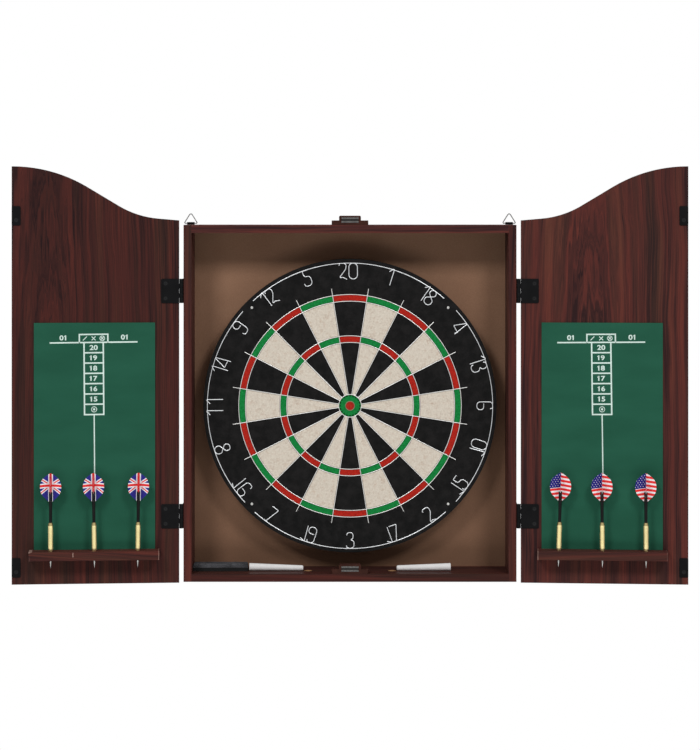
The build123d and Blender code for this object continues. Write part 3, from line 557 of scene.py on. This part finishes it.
def wires_on_board(name, strokes, thickness):
    """Round wires that lie on the board's face, from flat lines in millimetres."""
    radius = thickness / 2 * MM
    curve = bpy.data.curves.new(name, "CURVE")
    curve.dimensions = "3D"
    curve.bevel_depth, curve.bevel_resolution, curve.use_fill_caps = radius, 2, True
    for line, closed in strokes:
        spline = curve.splines.new("POLY")
        spline.points.add(len(line) - 1)
        spline.use_cyclic_u = closed
        for spot, (u, v) in zip(spline.points, line):
            spot.co = (board_middle.x + u * MM, FACE_Y - radius, board_middle.z + v * MM, 1)
    made = keep_mesh(put_in_scene(name, curve), name)
    made.data.polygons.foreach_set("use_smooth", [True] * len(made.data.polygons))
    print(name, "has", len(strokes), "wires and", len(made.data.polygons), "faces")
    return made


print("wire helpers ready")

# %% The spider
SPIDER_WIRE, OUTER_BULL, SPOKE_TUCK = 1.2, 17.9, 1.0
BULL_RING, BULL_WIRE = 6.85, 1.0
spokes = []
for i in range(WEDGES):
    turn = math.tau * (i + 0.5) / WEDGES
    ends = [on_ring(radius, turn) for radius in (OUTER_BULL - SPOKE_TUCK, SPIDER_END)]
    spokes.append((ends, False))
ring_radii = RADII["double"] + RADII["treble"] + (OUTER_BULL - SPIDER_WIRE / 2,)
rings = [(ring_wire(radius), True) for radius in ring_radii]
spider = wires_on_board("spider_wires", spokes + rings, SPIDER_WIRE)
bull_ring = wires_on_board("bull_ring", [(ring_wire(BULL_RING, steps=64), True)], BULL_WIRE)
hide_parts("wire_spider")

# %% The number ring
DIGITS = {
    "0": [([(0, 0), (13, 0), (13, 24), (0, 24)], 6.2, True)],
    "1": [([(0, 20), (6.5, 26.6), (6.5, 0)], 1.0, False)],
    "2": [
        (
            [(0, 20.5), (0.5, 24), (11.5, 24), (10, 15), (0, 1.5), (5.5, 2.8), (12, -0.5)],
            [2, 4, 6, 1, 3], False,
        ),
    ],
    "3": [
        (
            [
                (0.5, 20), (0.5, 24), (10, 24), (10, 15), (5.5, 13), (11.5, 11), (11.5, 0), (0, 0),
                (0, 4.5),
            ],
            [3.6, 4.2, 3.5, 0.9, 4.0, 5.2, 4.0], False,
        ),
    ],
    "4": [([(11.5, 0), (10.5, 26.8), (0, 6.5), (12.6, 4.8)], 1.0, False)],
    "5": [
        (
            [(11, 24), (2.5, 24), (2.5, 14.5), (12, 14.5), (12, 0), (0.5, 0), (0, 5)],
            [1, 4, 5, 5.6, 4], False,
        ),
    ],
    "6": [
        (
            [(10.5, 20), (10, 24), (0, 24), (0, 0), (12, 0), (12, 10.5), (2.5, 10.5)],
            [2.5, 5, 5.6, 5.2, 4.5], False,
        ),
    ],
    "7": [([(0, 24), (11.5, 24), (4.5, 0)], 1.0, False)],
    "8": [
        ([(0, 0), (12, 0), (12, 9), (6, 13), (0, 9)], [5.6, 5.6, 3.4, 1.0, 3.4], True),
        ([(1, 24), (1, 17), (6, 13), (11, 17), (11, 24)], [4.5, 2.6, 1.0, 2.6, 4.5], True),
    ],
}
FEET_FIRST = {"1": [([(0, 3.2), (7.5, -0.6), (6.5, 24)], 1.0, False)]}  # bent another way by the ring
DIGIT_WIDE, DIGIT_HIGH, DIGIT_GAP = 12.0, 24.0, 3.0
WIDE_GAPS = {"11": 10.5, "16": 6.5}  # numbers whose digits are further apart
ARC_TURNS = (0.75, 0.0, 0.1, 0.6)  # degrees by which the top, right, bottom and left arcs sit askew
DIGITS["9"] = [  # a 6 turned round
    ([(DIGIT_WIDE - x, DIGIT_HIGH - y) for x, y in line], radii, closed)
    for line, radii, closed in DIGITS["6"]
]
ORDER = [20, 1, 18, 4, 13, 6, 10, 15, 2, 17, 3, 19, 7, 16, 8, 11, 14, 9, 12, 5]  # clockwise
FEET_OUT = range(6, 15)  # places whose numbers stand with their feet on the ring
NUMBER_R, NUMBER_WIRE, NUMBER_DIP = 218.0, 1.6, 0.3
ARC_HALF, ARC_STEP = 42, 2  # degrees


def number_lines(place):
    """The bent wires of one number, in its place on the ring."""
    text = str(ORDER[place])
    width = {digit: max(x for line, *_ in DIGITS[digit] for x, _ in line) for digit in DIGITS}
    gap = WIDE_GAPS.get(text, DIGIT_GAP)
    across = -(sum(width[c] for c in text) + gap * (len(text) - 1)) / 2
    flip = -1 if place in FEET_OUT else 1
    forms = {**DIGITS, **FEET_FIRST} if flip < 0 else DIGITS
    askew = ARC_TURNS[(place + 2) % WEDGES // 5]
    spin = Matrix.Rotation(math.radians(askew - place * 360 / WEDGES), 2)
    for digit in text:
        for line, radii, closed in forms[digit]:
            feet = [(flip * (across + x), y if flip < 0 else DIGIT_HIGH - y) for x, y in line]
            moved = [spin @ Vector((u, NUMBER_R - NUMBER_DIP - v)) for u, v in feet]
            yield bent_wire(moved, radii, closed), closed
        across += width[digit] + gap


arcs = []
for quarter, askew in enumerate(ARC_TURNS):
    steps = range(-ARC_HALF, ARC_HALF + 1, ARC_STEP)
    turns = [math.radians(90 * quarter - askew + step) for step in steps]
    arcs.append(([on_ring(NUMBER_R, turn) for turn in turns], False))
numbers = [stroke for place in range(WEDGES) for stroke in number_lines(place)]
number_wires = wires_on_board("number_wires", arcs + numbers, NUMBER_WIRE)
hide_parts("number_ring")

# %% [markdown]
# ## Bare metal
# Drawn wire, points, rings and the bracket are bare steel with a soft shine, and the barrels of the
# darts are turned brass with a dull neck. A metal takes its look from what it mirrors, so its colour
# hardly changes, and its roughness wanders, as handling and drawing marks do.

# %% Steel and brass
DUSTY = 0.86  # how much darker a metal is under dust
DULL_BRASS = paint(158, 142, 100)
NECK_L, NECK_BLUR = 4.5 * MM, 0.5 * MM


def bare_metal(name, colour, rough, marks=260.0, streaks=(1, 1, 1), neck=None):
    """Bare metal; above the height of a neck, if there is one, it is dull."""
    material, shader, place = start(name, metallic=1.0)
    drawn = place.node("VectorMath", {"operation": "MULTIPLY"}, {0: place, 1: streaks})
    mark, dust = cloud(drawn, marks, 3.0), cloud(place, 40.0)
    dusty = (*[c * DUSTY for c in colour[:3]], 1.0)
    tint = over(spread(dust, 0.35, 0.65), dusty, colour)
    if neck is not None:
        above = spread(xyz(place)[2], neck - NECK_BLUR, neck + NECK_BLUR)
        tint = over(above, tint, DULL_BRASS)
    rough = spread(mark, 0.3, 0.7, rough - 0.07, rough + 0.09)
    connect(place, shader, base_color=tint, roughness=rough)
    return material


for piece, finish in (
    (spider, bare_metal("drawn_wire", paint(232, 231, 228), 0.36)),
    (bull_ring, bare_metal("dull_wire", paint(150, 138, 118), 0.4)),
    (number_wires, bare_metal("thick_wire", paint(218, 220, 222), 0.36)),
):
    piece.data.materials.append(finish)
    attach(piece, "dart_board")
wear("board_bracket", "board_fasteners", *ending("_point"))(
    bare_metal("bright_steel", paint(190, 189, 186), 0.32)
)
wear("left_hanger_ring", "right_hanger_ring")(bare_metal("grey_wire", paint(134, 133, 132), 0.38))
wear("steel_band")(bare_metal("dark_steel_band", paint(30, 30, 30), 0.5, 300.0, (1, 30, 1)))
barrels = ending("_barrel")
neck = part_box(barrels[0])[1].z - NECK_L
wear(*barrels)(bare_metal("turned_brass", paint(238, 222, 164), 0.44, 500.0, (1, 1, 12), neck))

# %% [markdown]
# A catch is a magnet between two steel plates. The plates stand a hair proud, so their ends are rubbed
# bright, while the magnet lies back and is dark. Depth from the front edge tells the two apart.

# %% Magnets and their plates
RUBBED_DEPTH = 0.8 * MM
catch_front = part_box("catch_magnet_packs")[0].y


def magnet_pack():
    material, shader, place = start("magnet_pack", specular_ior_level=0.2)
    plate = xyz(place)[1] < catch_front + RUBBED_DEPTH
    scuff = cloud(place, 900.0, 3.0)
    steel = over(spread(scuff, 0.35, 0.65), paint(74, 72, 71), paint(108, 106, 104))
    connect(
        place, shader, base_color=over(plate, paint(34, 31, 30), steel), metallic=plate * 0.5,
        roughness=spread(scuff, 0.3, 0.7, 0.35, 0.5),
    )
    return material


wear("catch_magnet_packs")(magnet_pack())

# %% [markdown]
# ## Lacquer, plastic and the rest
# Hinges, strike plates and straps are steel in black lacquer, with a fine grain and a little shine.
# Stems are black plastic and the catches brown plastic. One helper makes all of them: a base colour
# that wanders slightly, and a fine relief. Dowels, chipboard, chalk and foam come from it as well.

# %% Lacquer and plastics
def coated(name, colour, rough, grain, depth, vary=0.18, shine=0.5):
    """A plain finish, with so many specks of grain to a metre and a relief so many metres deep."""
    material, shader, place = start(name, specular_ior_level=shine)
    fine, patch = cloud(place, grain, 3.0), cloud(place, 60.0)
    tone = fine * 0.5 + patch * 0.5
    dark, light = toned(colour, 1 - vary), toned(colour, 1 + vary)
    connect(
        place, shader, base_color=over(spread(tone, 0.35, 0.65), dark, light),
        roughness=spread(tone, 0.3, 0.7, rough - 0.06, rough + 0.08), normal=relief(fine, depth),
    )
    return material


hinge_nodes = [
    "frame_hinge_leaves", "left_door_leaves", "right_door_leaves",
    "left_strike_plates", "right_strike_plates",
]
wear(*hinge_nodes, "hanger_straps")(
    coated("black_lacquer", (18, 18, 19), 0.46, 1600.0, 0.04 * MM, shine=0.05)
)
wear("cabinet_screws", "left_door_screws", "right_door_screws")(
    coated("black_screws", (30, 30, 31), 0.38, 1200.0, 0.03 * MM, shine=0.12)
)
wear(*ending("_stem"))(coated("stem_plastic", (24, 24, 24), 0.4, 1500.0, 0.03 * MM, shine=0.08))
wear("catch_housings")(coated("catch_plastic", (58, 34, 28), 0.5, 1300.0, 0.05 * MM, shine=0.05))
wear("corner_dowels")(coated("beech_dowels", (196, 160, 112), 0.7, 900.0, 0.06 * MM))
wear("backing_board")(coated("chipboard_backing", (133, 108, 78), 0.85, 350.0, 0.2 * MM))
wear("left_chalk", "right_chalk")(
    coated("white_chalk", (248, 247, 246), 0.92, 500.0, 0.01 * MM, vary=0.015, shine=0.1)
)
wear("eraser_block")(coated("black_foam", (27, 27, 27), 0.9, 800.0, 0.3 * MM, shine=0.2))

# %% [markdown]
# ## The score boards
# A score board is a thin sheet with a matt green writing surface. Chalk that was wiped off leaves a
# faint pale haze in long strokes, which a stretched noise gives.

# %% Green writing surface
def score_green():
    material, shader, place = start("score_green", specular_ior_level=0.06)
    x, y, z = xyz(place)
    wipe = cloud(point(x * 9.0, z * 26.0, y), 1.0, 3.0)
    tooth = cloud(place, 1600.0, 3.0)
    colour = over(spread(wipe, 0.35, 0.75), paint(34, 84, 65), paint(41, 94, 74))
    colour = over(spread(tooth, 0.5, 0.8) * 0.3, colour, paint(52, 104, 84))
    connect(
        place, shader, base_color=colour, roughness=spread(wipe, 0.3, 0.7, 0.72, 0.85),
        normal=relief(tooth, 0.05 * MM),
    )
    return material


wear("left_score_board", "right_score_board")(score_green())

# %% [markdown]
# ## The print on the score boards
# White lines and plain numbers are screen-printed on each board: a cross line, a head box, a column
# of boxes with the numbers from 20 down to 15, and a stem line. Ink lies on the surface, so the print
# is a separate skin a fraction of a millimetre thick. The head box holds the three tally marks that
# players draw, and the lowest box a ringed dot.

# %% Print helpers
INK_T, LINE_W = 0.06 * MM, 2.1
BOLDER = 0.03  # widens the strokes of a number
FLAG_ROOT, FLAG_TIP, FLAG_W = Vector((0.4, -1.0)), Vector((-1.5, -2.1)), 1.3  # from the top of a 1
FIRST_STEM, LAST_STEM = 0.5, 1.6  # from a number's end to the stem of a 1 there


class Print:
    """Ink on a score board, in millimetres from the board's middle, with heights as in the frame."""

    def __init__(self):
        self.ink = bmesh.new()

    def bar(self, start, stop, width=LINE_W):
        """A straight line of ink."""
        start, stop = Vector(start), Vector(stop)
        half = (stop - start).orthogonal().normalized() * width / 2
        self.fill([start - half, stop - half, stop + half, start + half])

    def frame(self, left, low, right, high):
        """The outline of a box."""
        w = LINE_W / 2
        for y in (low, high):
            self.bar((left - w, y), (right + w, y))
        for x in (left, right):
            self.bar((x, low + w), (x, high - w))

    def ring(self, middle, radius, width, steps=40):
        """A ring of ink, or a dot when its width is its radius."""
        inner = max(radius - width, 0.0)
        turns = [on_ring(1, math.tau * i / steps) for i in range(steps)]
        for a, b in zip(turns, turns[1:] + turns[:1]):
            wedge = [a * radius, b * radius]
            wedge = [a * inner, *wedge, b * inner] if inner else [Vector((0, 0)), *wedge]
            self.fill([Vector(middle) + p for p in wedge])

    def fill(self, corners):
        """A flat patch of ink with its thickness."""
        flat = [p * MM for p in corners]
        top, base = ([self.ink.verts.new((p.x, p.y, h)) for p in flat] for h in (INK_T, 0))
        self.ink.faces.new(top)
        self.ink.faces.new(base[::-1])
        for i in range(len(corners)):
            self.ink.faces.new((base[i - 1], base[i], top[i], top[i - 1]))

    def number(self, text, middle, height, wide=1.22):
        """A number in a plain bold face, made to a height."""
        letters = bpy.data.curves.new("number", "FONT")
        letters.body, letters.extrude = text, 0.01
        letters.bevel_depth, letters.bevel_resolution = BOLDER, 0
        made = keep_mesh(put_in_scene("number", letters), "number")
        spots = [v.co.copy() for v in made.data.vertices]
        low, high = (Vector([pick(s[i] for s in spots) for i in range(3)]) for pick in (min, max))
        scale = height * MM / (high.y - low.y)
        centre = (low + high) / 2
        for v in made.data.vertices:
            flat = (v.co - centre) * scale
            x, y = flat.x * wide + middle[0] * MM, flat.y + middle[1] * MM
            v.co = (x, y, INK_T if v.co.z > centre.z else 0)
        self.ink.from_mesh(made.data)
        bpy.data.objects.remove(made)
        half, top = (high.x - low.x) / 2 * scale * wide / MM, middle[1] + height / 2
        for digit, stem in ((text[0], FIRST_STEM - half), (text[-1], half - LAST_STEM)):
            if digit == "1":
                corner = Vector((middle[0] + stem, top))
                self.bar(corner + FLAG_ROOT, corner + FLAG_TIP, FLAG_W)


print("print helpers ready")

# %% Print on both boards
LINE_Z, HEAD_TOP, ROW_H = 92.9, 105.0, 15.5
ROWS, TOP_NUMBER = 7, 20  # the lowest box has no number
LINE_HALF, HEAD_HALF, COLUMN_HALF = 65.8, 21.3, 14.4
STEM_END, STEM_W, DIGIT_H = -110.0, 1.7, 7.6
PAIR_X, PAIR_Z = 46.0, 100.3  # the two numbers beside the head box
RING_W, LOW_RING_R, DOT_R = 1.0, 4.4, 1.7
MARK_X, MARK_W, MARK_REACH = 13.0, 1.2, 2.9
MARK_RING_R, RINGED_REACH, MARK_GAP = 4.1, 2.1, 0.45
PRINT_CLIMB = {"left": 0.009, "right": 0.010}  # level lines climb a little to the right
PRINT_LEAN = {"left": 0.0076, "right": 0.013}  # and upright lines lean to the left
PRINT_ASIDE = {"left": -0.7 * MM, "right": -0.15 * MM}
SCORE_T = 1.5 * MM
white_ink = coated("white_ink", (216, 236, 227), 0.7, 900.0, 0.02 * MM, vary=0.05)


def tally_marks(sheet):
    """A stroke, a cross and a ringed cross in the head box."""
    head = (LINE_Z + HEAD_TOP) / 2
    for x, reach in ((-MARK_X, MARK_REACH), (0, MARK_REACH), (MARK_X, RINGED_REACH)):
        sheet.bar((x - reach, head - reach), (x + reach, head + reach), MARK_W)
        for way in (-1, 1) if x >= 0 else ():
            gap, end = way * MARK_GAP, way * reach
            sheet.bar((x + gap, head - gap), (x + end, head - end), MARK_W)
    sheet.ring((MARK_X, head), MARK_RING_R, RING_W)


def score_print(side):
    """All the ink of one score board, on its door."""
    sheet = Print()
    sheet.bar((-LINE_HALF, LINE_Z), (-HEAD_HALF + LINE_W / 2, LINE_Z))
    sheet.bar((HEAD_HALF - LINE_W / 2, LINE_Z), (LINE_HALF, LINE_Z))
    sheet.frame(-HEAD_HALF, LINE_Z, HEAD_HALF, HEAD_TOP)
    for row in range(ROWS):
        top = LINE_Z - row * ROW_H
        low = top - ROW_H
        sheet.bar((-COLUMN_HALF - LINE_W / 2, low), (COLUMN_HALF + LINE_W / 2, low))
        for x in (-COLUMN_HALF, COLUMN_HALF):
            sheet.bar((x, top - LINE_W / 2), (x, low + LINE_W / 2))
        if row < ROWS - 1:
            sheet.number(str(TOP_NUMBER - row), (0, top - ROW_H / 2), DIGIT_H)
    lowest = LINE_Z - (ROWS - 0.5) * ROW_H
    sheet.ring((0, lowest), LOW_RING_R, RING_W)
    sheet.ring((0, lowest), DOT_R, DOT_R)
    sheet.bar((0, LINE_Z - ROWS * ROW_H - LINE_W / 2), (0, STEM_END), STEM_W)
    for x in (-PAIR_X, PAIR_X):
        sheet.number("01", (x, PAIR_Z), DIGIT_H)
    tally_marks(sheet)

    mesh = bpy.data.meshes.new(f"{side}_score_print")
    bmesh.ops.recalc_face_normals(sheet.ink, faces=sheet.ink.faces)
    sheet.ink.to_mesh(mesh)
    sheet.ink.free()
    pin, right, up, out = door_axes(side)
    centre = middle_of(f"{side}_score_board")
    home = pin + right * (centre - pin).dot(right) + out * SCORE_T
    lie = Matrix((right, up, out)).transposed().to_4x4()
    askew = Matrix.Identity(4)
    askew[0][1], askew[0][3], askew[1][0] = -PRINT_LEAN[side], PRINT_ASIDE[side], PRINT_CLIMB[side]
    mesh.transform(Matrix.Translation(home) @ lie @ askew)
    made = put_in_scene(mesh.name, mesh)
    made.data.materials.append(white_ink)
    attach(made, f"{side}_door")
    print(made.name, len(mesh.polygons), "faces")


for side in SIDES:
    score_print(side)

# %% [markdown]
# ## Printed flights
# The flights are folded film with a flag on them: crosses on a blue field on the left darts, stripes
# and stars on the right. The picture spreads over two fins, so its sideways place is the distance
# from the dart's own axis. A fin that stands across has the same picture, because on it one of the
# two sideways distances is always nothing, and their sum is the place.

# %% Flight print
FILM_BLUE, FILM_RED, FILM_WHITE = paint(40, 36, 134), paint(232, 48, 48), paint(246, 243, 246)
CANTON_BLUE, STAR_PALE, FILM_DARK = paint(24, 15, 118), paint(232, 228, 242), paint(20, 20, 22)
FIN_EDGE, GRIP_TOP = 0.7, 13.5  # the edge of a fin between the prongs of its stem, and their top
CROSS_AT, ARM_HALF, ARM_EDGE, DROOP = 24.0, 1.75, 3.5, 0.0045
SLANT, SLANT_HALF, SLANT_RED = math.radians(36), 2.3, 0.85
STRIPE, RED_FROM, RED_SHARE, STRIPE_FALL = 3.13, 3.7, 0.57, 0.15
CANTON_SIDE, CANTON_LOW = 0.2, 20.4
STAR_STEP, STAR_ROW, STAR_R = 3.9, 3.12, 0.58


def flag_place(side, dart):
    """A new film finish, and the sideways and upward place on a dart's flight in millimetres."""
    name = f"{side}_dart_{dart}"
    film = start(f"{name}_film", specular_ior_level=0.2)
    place = film[-1]
    flight = middle_of(f"{name}_flight")
    axis = (flight - middle_of(f"{name}_barrel")).normalized()
    _, right, _, out = door_axes(side)
    across = (right - axis * right.dot(axis)).normalized()
    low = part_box(f"{name}_flight")[0].z
    foot = flight - axis * ((flight.z - low) / axis.z)
    broad = abs(measure(facing(place), (0, 0, 0), across)) > 0.5  # not the thin edge of a fin
    u = (measure(place, foot, across) + measure(place, foot, out) * broad) * 1000
    v = measure(place, foot, axis) * 1000
    return film, u, v


def print_film(film, u, v, colour):
    """Put a flag on a film, and leave it dark where the stem grips it."""
    material, shader, place = film
    gripped = (abs(u) < FIN_EDGE) * (v < GRIP_TOP)
    connect(
        place, shader, base_color=over(gripped, colour, FILM_DARK),
        roughness=spread(cloud(place, 300.0), 0.3, 0.7, 0.28, 0.42),
    )
    return material


def cross_flag(side, dart):
    """An upright cross over a slanting one."""
    film, u, v = flag_place(side, dart)
    rise = v - CROSS_AT + u * u * DROOP
    ways = [abs(u * math.sin(SLANT) - rise * way * math.cos(SLANT)) for way in (1, -1)]
    slant, arm = work_out("MINIMUM", *ways), work_out("MINIMUM", abs(u), abs(rise))
    colour = over(slant < SLANT_HALF, FILM_BLUE, FILM_WHITE)
    colour = over(slant < SLANT_RED, colour, FILM_RED)
    colour = over(arm < ARM_EDGE, colour, FILM_WHITE)
    colour = over(arm < ARM_HALF, colour, FILM_RED)
    return print_film(film, u, v, colour)


def stripe_flag(side, dart):
    """Stripes, with rows of stars in one corner."""
    film, u, v = flag_place(side, dart)
    wave = v + abs(u) * STRIPE_FALL
    red = (((wave - RED_FROM) / (2 * STRIPE)) % 1) < RED_SHARE
    row = work_out("FLOOR", wave / STAR_ROW)
    east = ((u / STAR_STEP + row * 0.5) % 1 - 0.5) * STAR_STEP
    north = ((wave / STAR_ROW) % 1 - 0.5) * STAR_ROW
    star = (east * east + north * north) < STAR_R ** 2
    canton = (u < CANTON_SIDE) * (wave > CANTON_LOW)
    colour = over(red, FILM_WHITE, FILM_RED)
    colour = over(canton, colour, over(star, CANTON_BLUE, STAR_PALE))
    return print_film(film, u, v, colour)


for dart in (1, 2, 3):
    wear(f"left_dart_{dart}_flight")(cross_flag("left", dart))
    wear(f"right_dart_{dart}_flight")(stripe_flag("right", dart))

# %% [markdown]
# ## The eraser's felt
# The wiping side of the eraser is a strip of grey felt. Felt has no sharp edge: it is a little
# fuller in the middle, its corners are round, and its face is uneven. A box with many small faces is
# shaped by a formula for that, and then each point is moved by a noise that is the same on each run.

# %% Felt
FELT_STEPS = (84, 20, 8)
FELT_FUZZ = 1.0 * MM
END_FROM, END_DROP, END_TUCK = 0.93, 0.42, 0.008  # rounded ends, in shares of half its length
SIDE_FROM, SIDE_DROP, SIDE_TUCK = 0.7, 0.3, 0.03  # and rounded long sides
STEEPEST = 0.99  # keeps a rounding from ending upright


def rounding(spot, begin):
    """A quarter of a circle, from 0 where it begins to nearly 1 at the border."""
    share = max(abs(spot) - begin, 0) / (1 - begin)
    return 1 - math.sqrt(1 - share * share * STEEPEST)


def felt_strip():
    """A box of small faces in the shape of felt."""
    low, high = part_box("eraser_felt")
    half, centre = (high - low) / 2, (low + high) / 2
    felt = bmesh.new()
    bmesh.ops.create_cube(felt, size=2.0)
    for axis, cuts in enumerate(FELT_STEPS):
        edges = [e for e in felt.edges if abs((e.verts[0].co - e.verts[1].co)[axis]) > 0.01]
        bmesh.ops.subdivide_edges(felt, edges=edges, cuts=cuts - 1, use_grid_fill=True)
    for v in felt.verts:
        u = v.co.copy()
        up = (u.z + 1) / 2
        drop = 1 - END_DROP * rounding(u.x, END_FROM) - SIDE_DROP * rounding(u.y, SIDE_FROM)
        long, broad = half.x * (1 - END_TUCK * up ** 3), half.y * (1 - SIDE_TUCK * up ** 3)
        spot = Vector((u.x * long, u.y * broad, (2 * up * drop - 1) * half.z))
        fuzz = 0.5 + 0.25 * noise.noise(spot * 700.0) + 0.35 * noise.noise(spot * 90.0)
        v.co = centre + spot - Vector((0, 0, FELT_FUZZ * (1 - fuzz) * up))
    mesh = bpy.data.meshes.new("felt_strip")
    felt.to_mesh(mesh)
    felt.free()
    mesh.polygons.foreach_set("use_smooth", [True] * len(mesh.polygons))
    return put_in_scene("felt_strip", mesh)


felt_strip_piece = felt_strip()
felt_strip_piece.data.materials.append(
    coated("grey_felt", (70, 70, 73), 0.96, 700.0, 0.6 * MM, vary=0.4, shine=0.1)
)
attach(felt_strip_piece, "eraser")
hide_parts("eraser_felt")
print("felt strip of", len(felt_strip_piece.data.polygons), "faces")

# %% [markdown]
# ## Soft edges
# No real edge is a knife edge: foil wraps round it, lacquer pools on it, and it catches a thin line
# of light. A Weld joins the faces of a carried-over piece and a narrow Bevel rounds its sharp edges.

# %% Bevels
JOIN, SHARP = 0.01 * MM, math.radians(40)


def soften(width, *names):
    """Join the faces of some pieces, and round their sharp edges."""
    for name in names:
        weld = nodes[name].modifiers.new("join faces", "WELD")
        weld.merge_threshold = JOIN
        bevel = nodes[name].modifiers.new("soft edges", "BEVEL")
        bevel.width, bevel.segments = width, 2
        bevel.limit_method, bevel.angle_limit = "ANGLE", SHARP
        bevel.harden_normals = True
    print("softened", len(names), "pieces by", width, "m")


soften(0.4 * MM, "left_side_panel", "right_side_panel", "top_panel", "bottom_panel")
soften(0.2 * MM, "catch_housings", "hanger_straps", *hinge_nodes)

# %% [markdown]
# ## The studio
# The cabinet hangs before plain white. A pale floor lies well below it, and the world is white for
# the camera and for mirrors. Light on the object is plain and soft: a dim even sky, a lamp high up
# on each side, and a weak wide one near the floor, as a white table throws light back up. The board
# stands in the way of that one, so the back panel is darkest just above the board.

# %% Floor, sky and lamps
FLOOR_Z, FLOOR_HALF, FLOOR_BACK = -0.95, 3.0, 1.4
FLOOR_PALE, FLOOR_GLOW = paint(235, 235, 235), 0.45
WHITE, SKY_LIGHT = (1, 1, 1, 1), 0.205


def pale_floor():
    """A floor below the cabinet, which glows a little for the camera."""
    left, right, front, back = -FLOOR_HALF, FLOOR_HALF, -FLOOR_HALF, FLOOR_BACK
    corners = (left, front), (right, front), (right, back), (left, back)
    mesh = bpy.data.meshes.new("floor")
    mesh.from_pydata([(x, y, FLOOR_Z) for x, y in corners], [], [(0, 1, 2, 3)])
    floor = put_in_scene("floor", mesh)
    material, shader, place = start("pale_floor", roughness=0.9, base_color=FLOOR_PALE)
    plain = Shade(place.tree, shader.outputs[0])
    seen = place.node("LightPath")
    glow = place.node("Emission", (), {"Strength": FLOOR_GLOW})
    both = place.node("AddShader", (), {0: glow, 1: plain})
    mixed = place.node("MixShader", (), {0: seen, 1: plain, 2: both})
    place.tree.links.new(mixed.socket, place.tree.nodes["Material Output"].inputs["Surface"])
    mesh.materials.append(material)


def white_sky():
    """A sky that is dim as a light, and white where it is seen."""
    world = bpy.data.worlds.new("white_sky")
    world.use_nodes = True
    bpy.context.scene.world = world
    tree = world.node_tree
    dim = tree.nodes["Background"]
    dim.inputs["Strength"].default_value = SKY_LIGHT
    dim.inputs["Color"].default_value = WHITE
    lit = Shade(tree, dim.outputs[0])
    white = lit.node("Background", (), {"Color": WHITE, "Strength": 1.0})
    rays = "Is Camera Ray", "Is Glossy Ray", "Is Transmission Ray"
    seen = [lit.node("LightPath", (), (), ray) for ray in rays]
    shown = work_out("MAXIMUM", seen[0], work_out("MAXIMUM", *seen[1:]))
    mixed = lit.node("MixShader", (), {0: shown, 1: lit, 2: white})
    tree.links.new(mixed.socket, tree.nodes["World Output"].inputs["Surface"])


def lamp(name, place, wide, high, watts):
    """A lamp that faces the middle of the cabinet."""
    light = bpy.data.lights.new(name, "AREA")
    light.shape, light.size, light.size_y, light.energy = "RECTANGLE", wide, high, watts
    made = put_in_scene(name, light)
    made.location = place
    made.rotation_euler = (-Vector(place)).to_track_quat("-Z", "Y").to_euler()


pale_floor()
white_sky()
for side, way in SIDES.items():
    lamp(f"{side}_lamp", (way * 1.4, -2.6, 2.02), wide=0.8, high=0.7, watts=41)
lamp("low_lamp", (0, -1.3, -0.84), wide=2.6, high=0.4, watts=5.2)
print("studio ready")
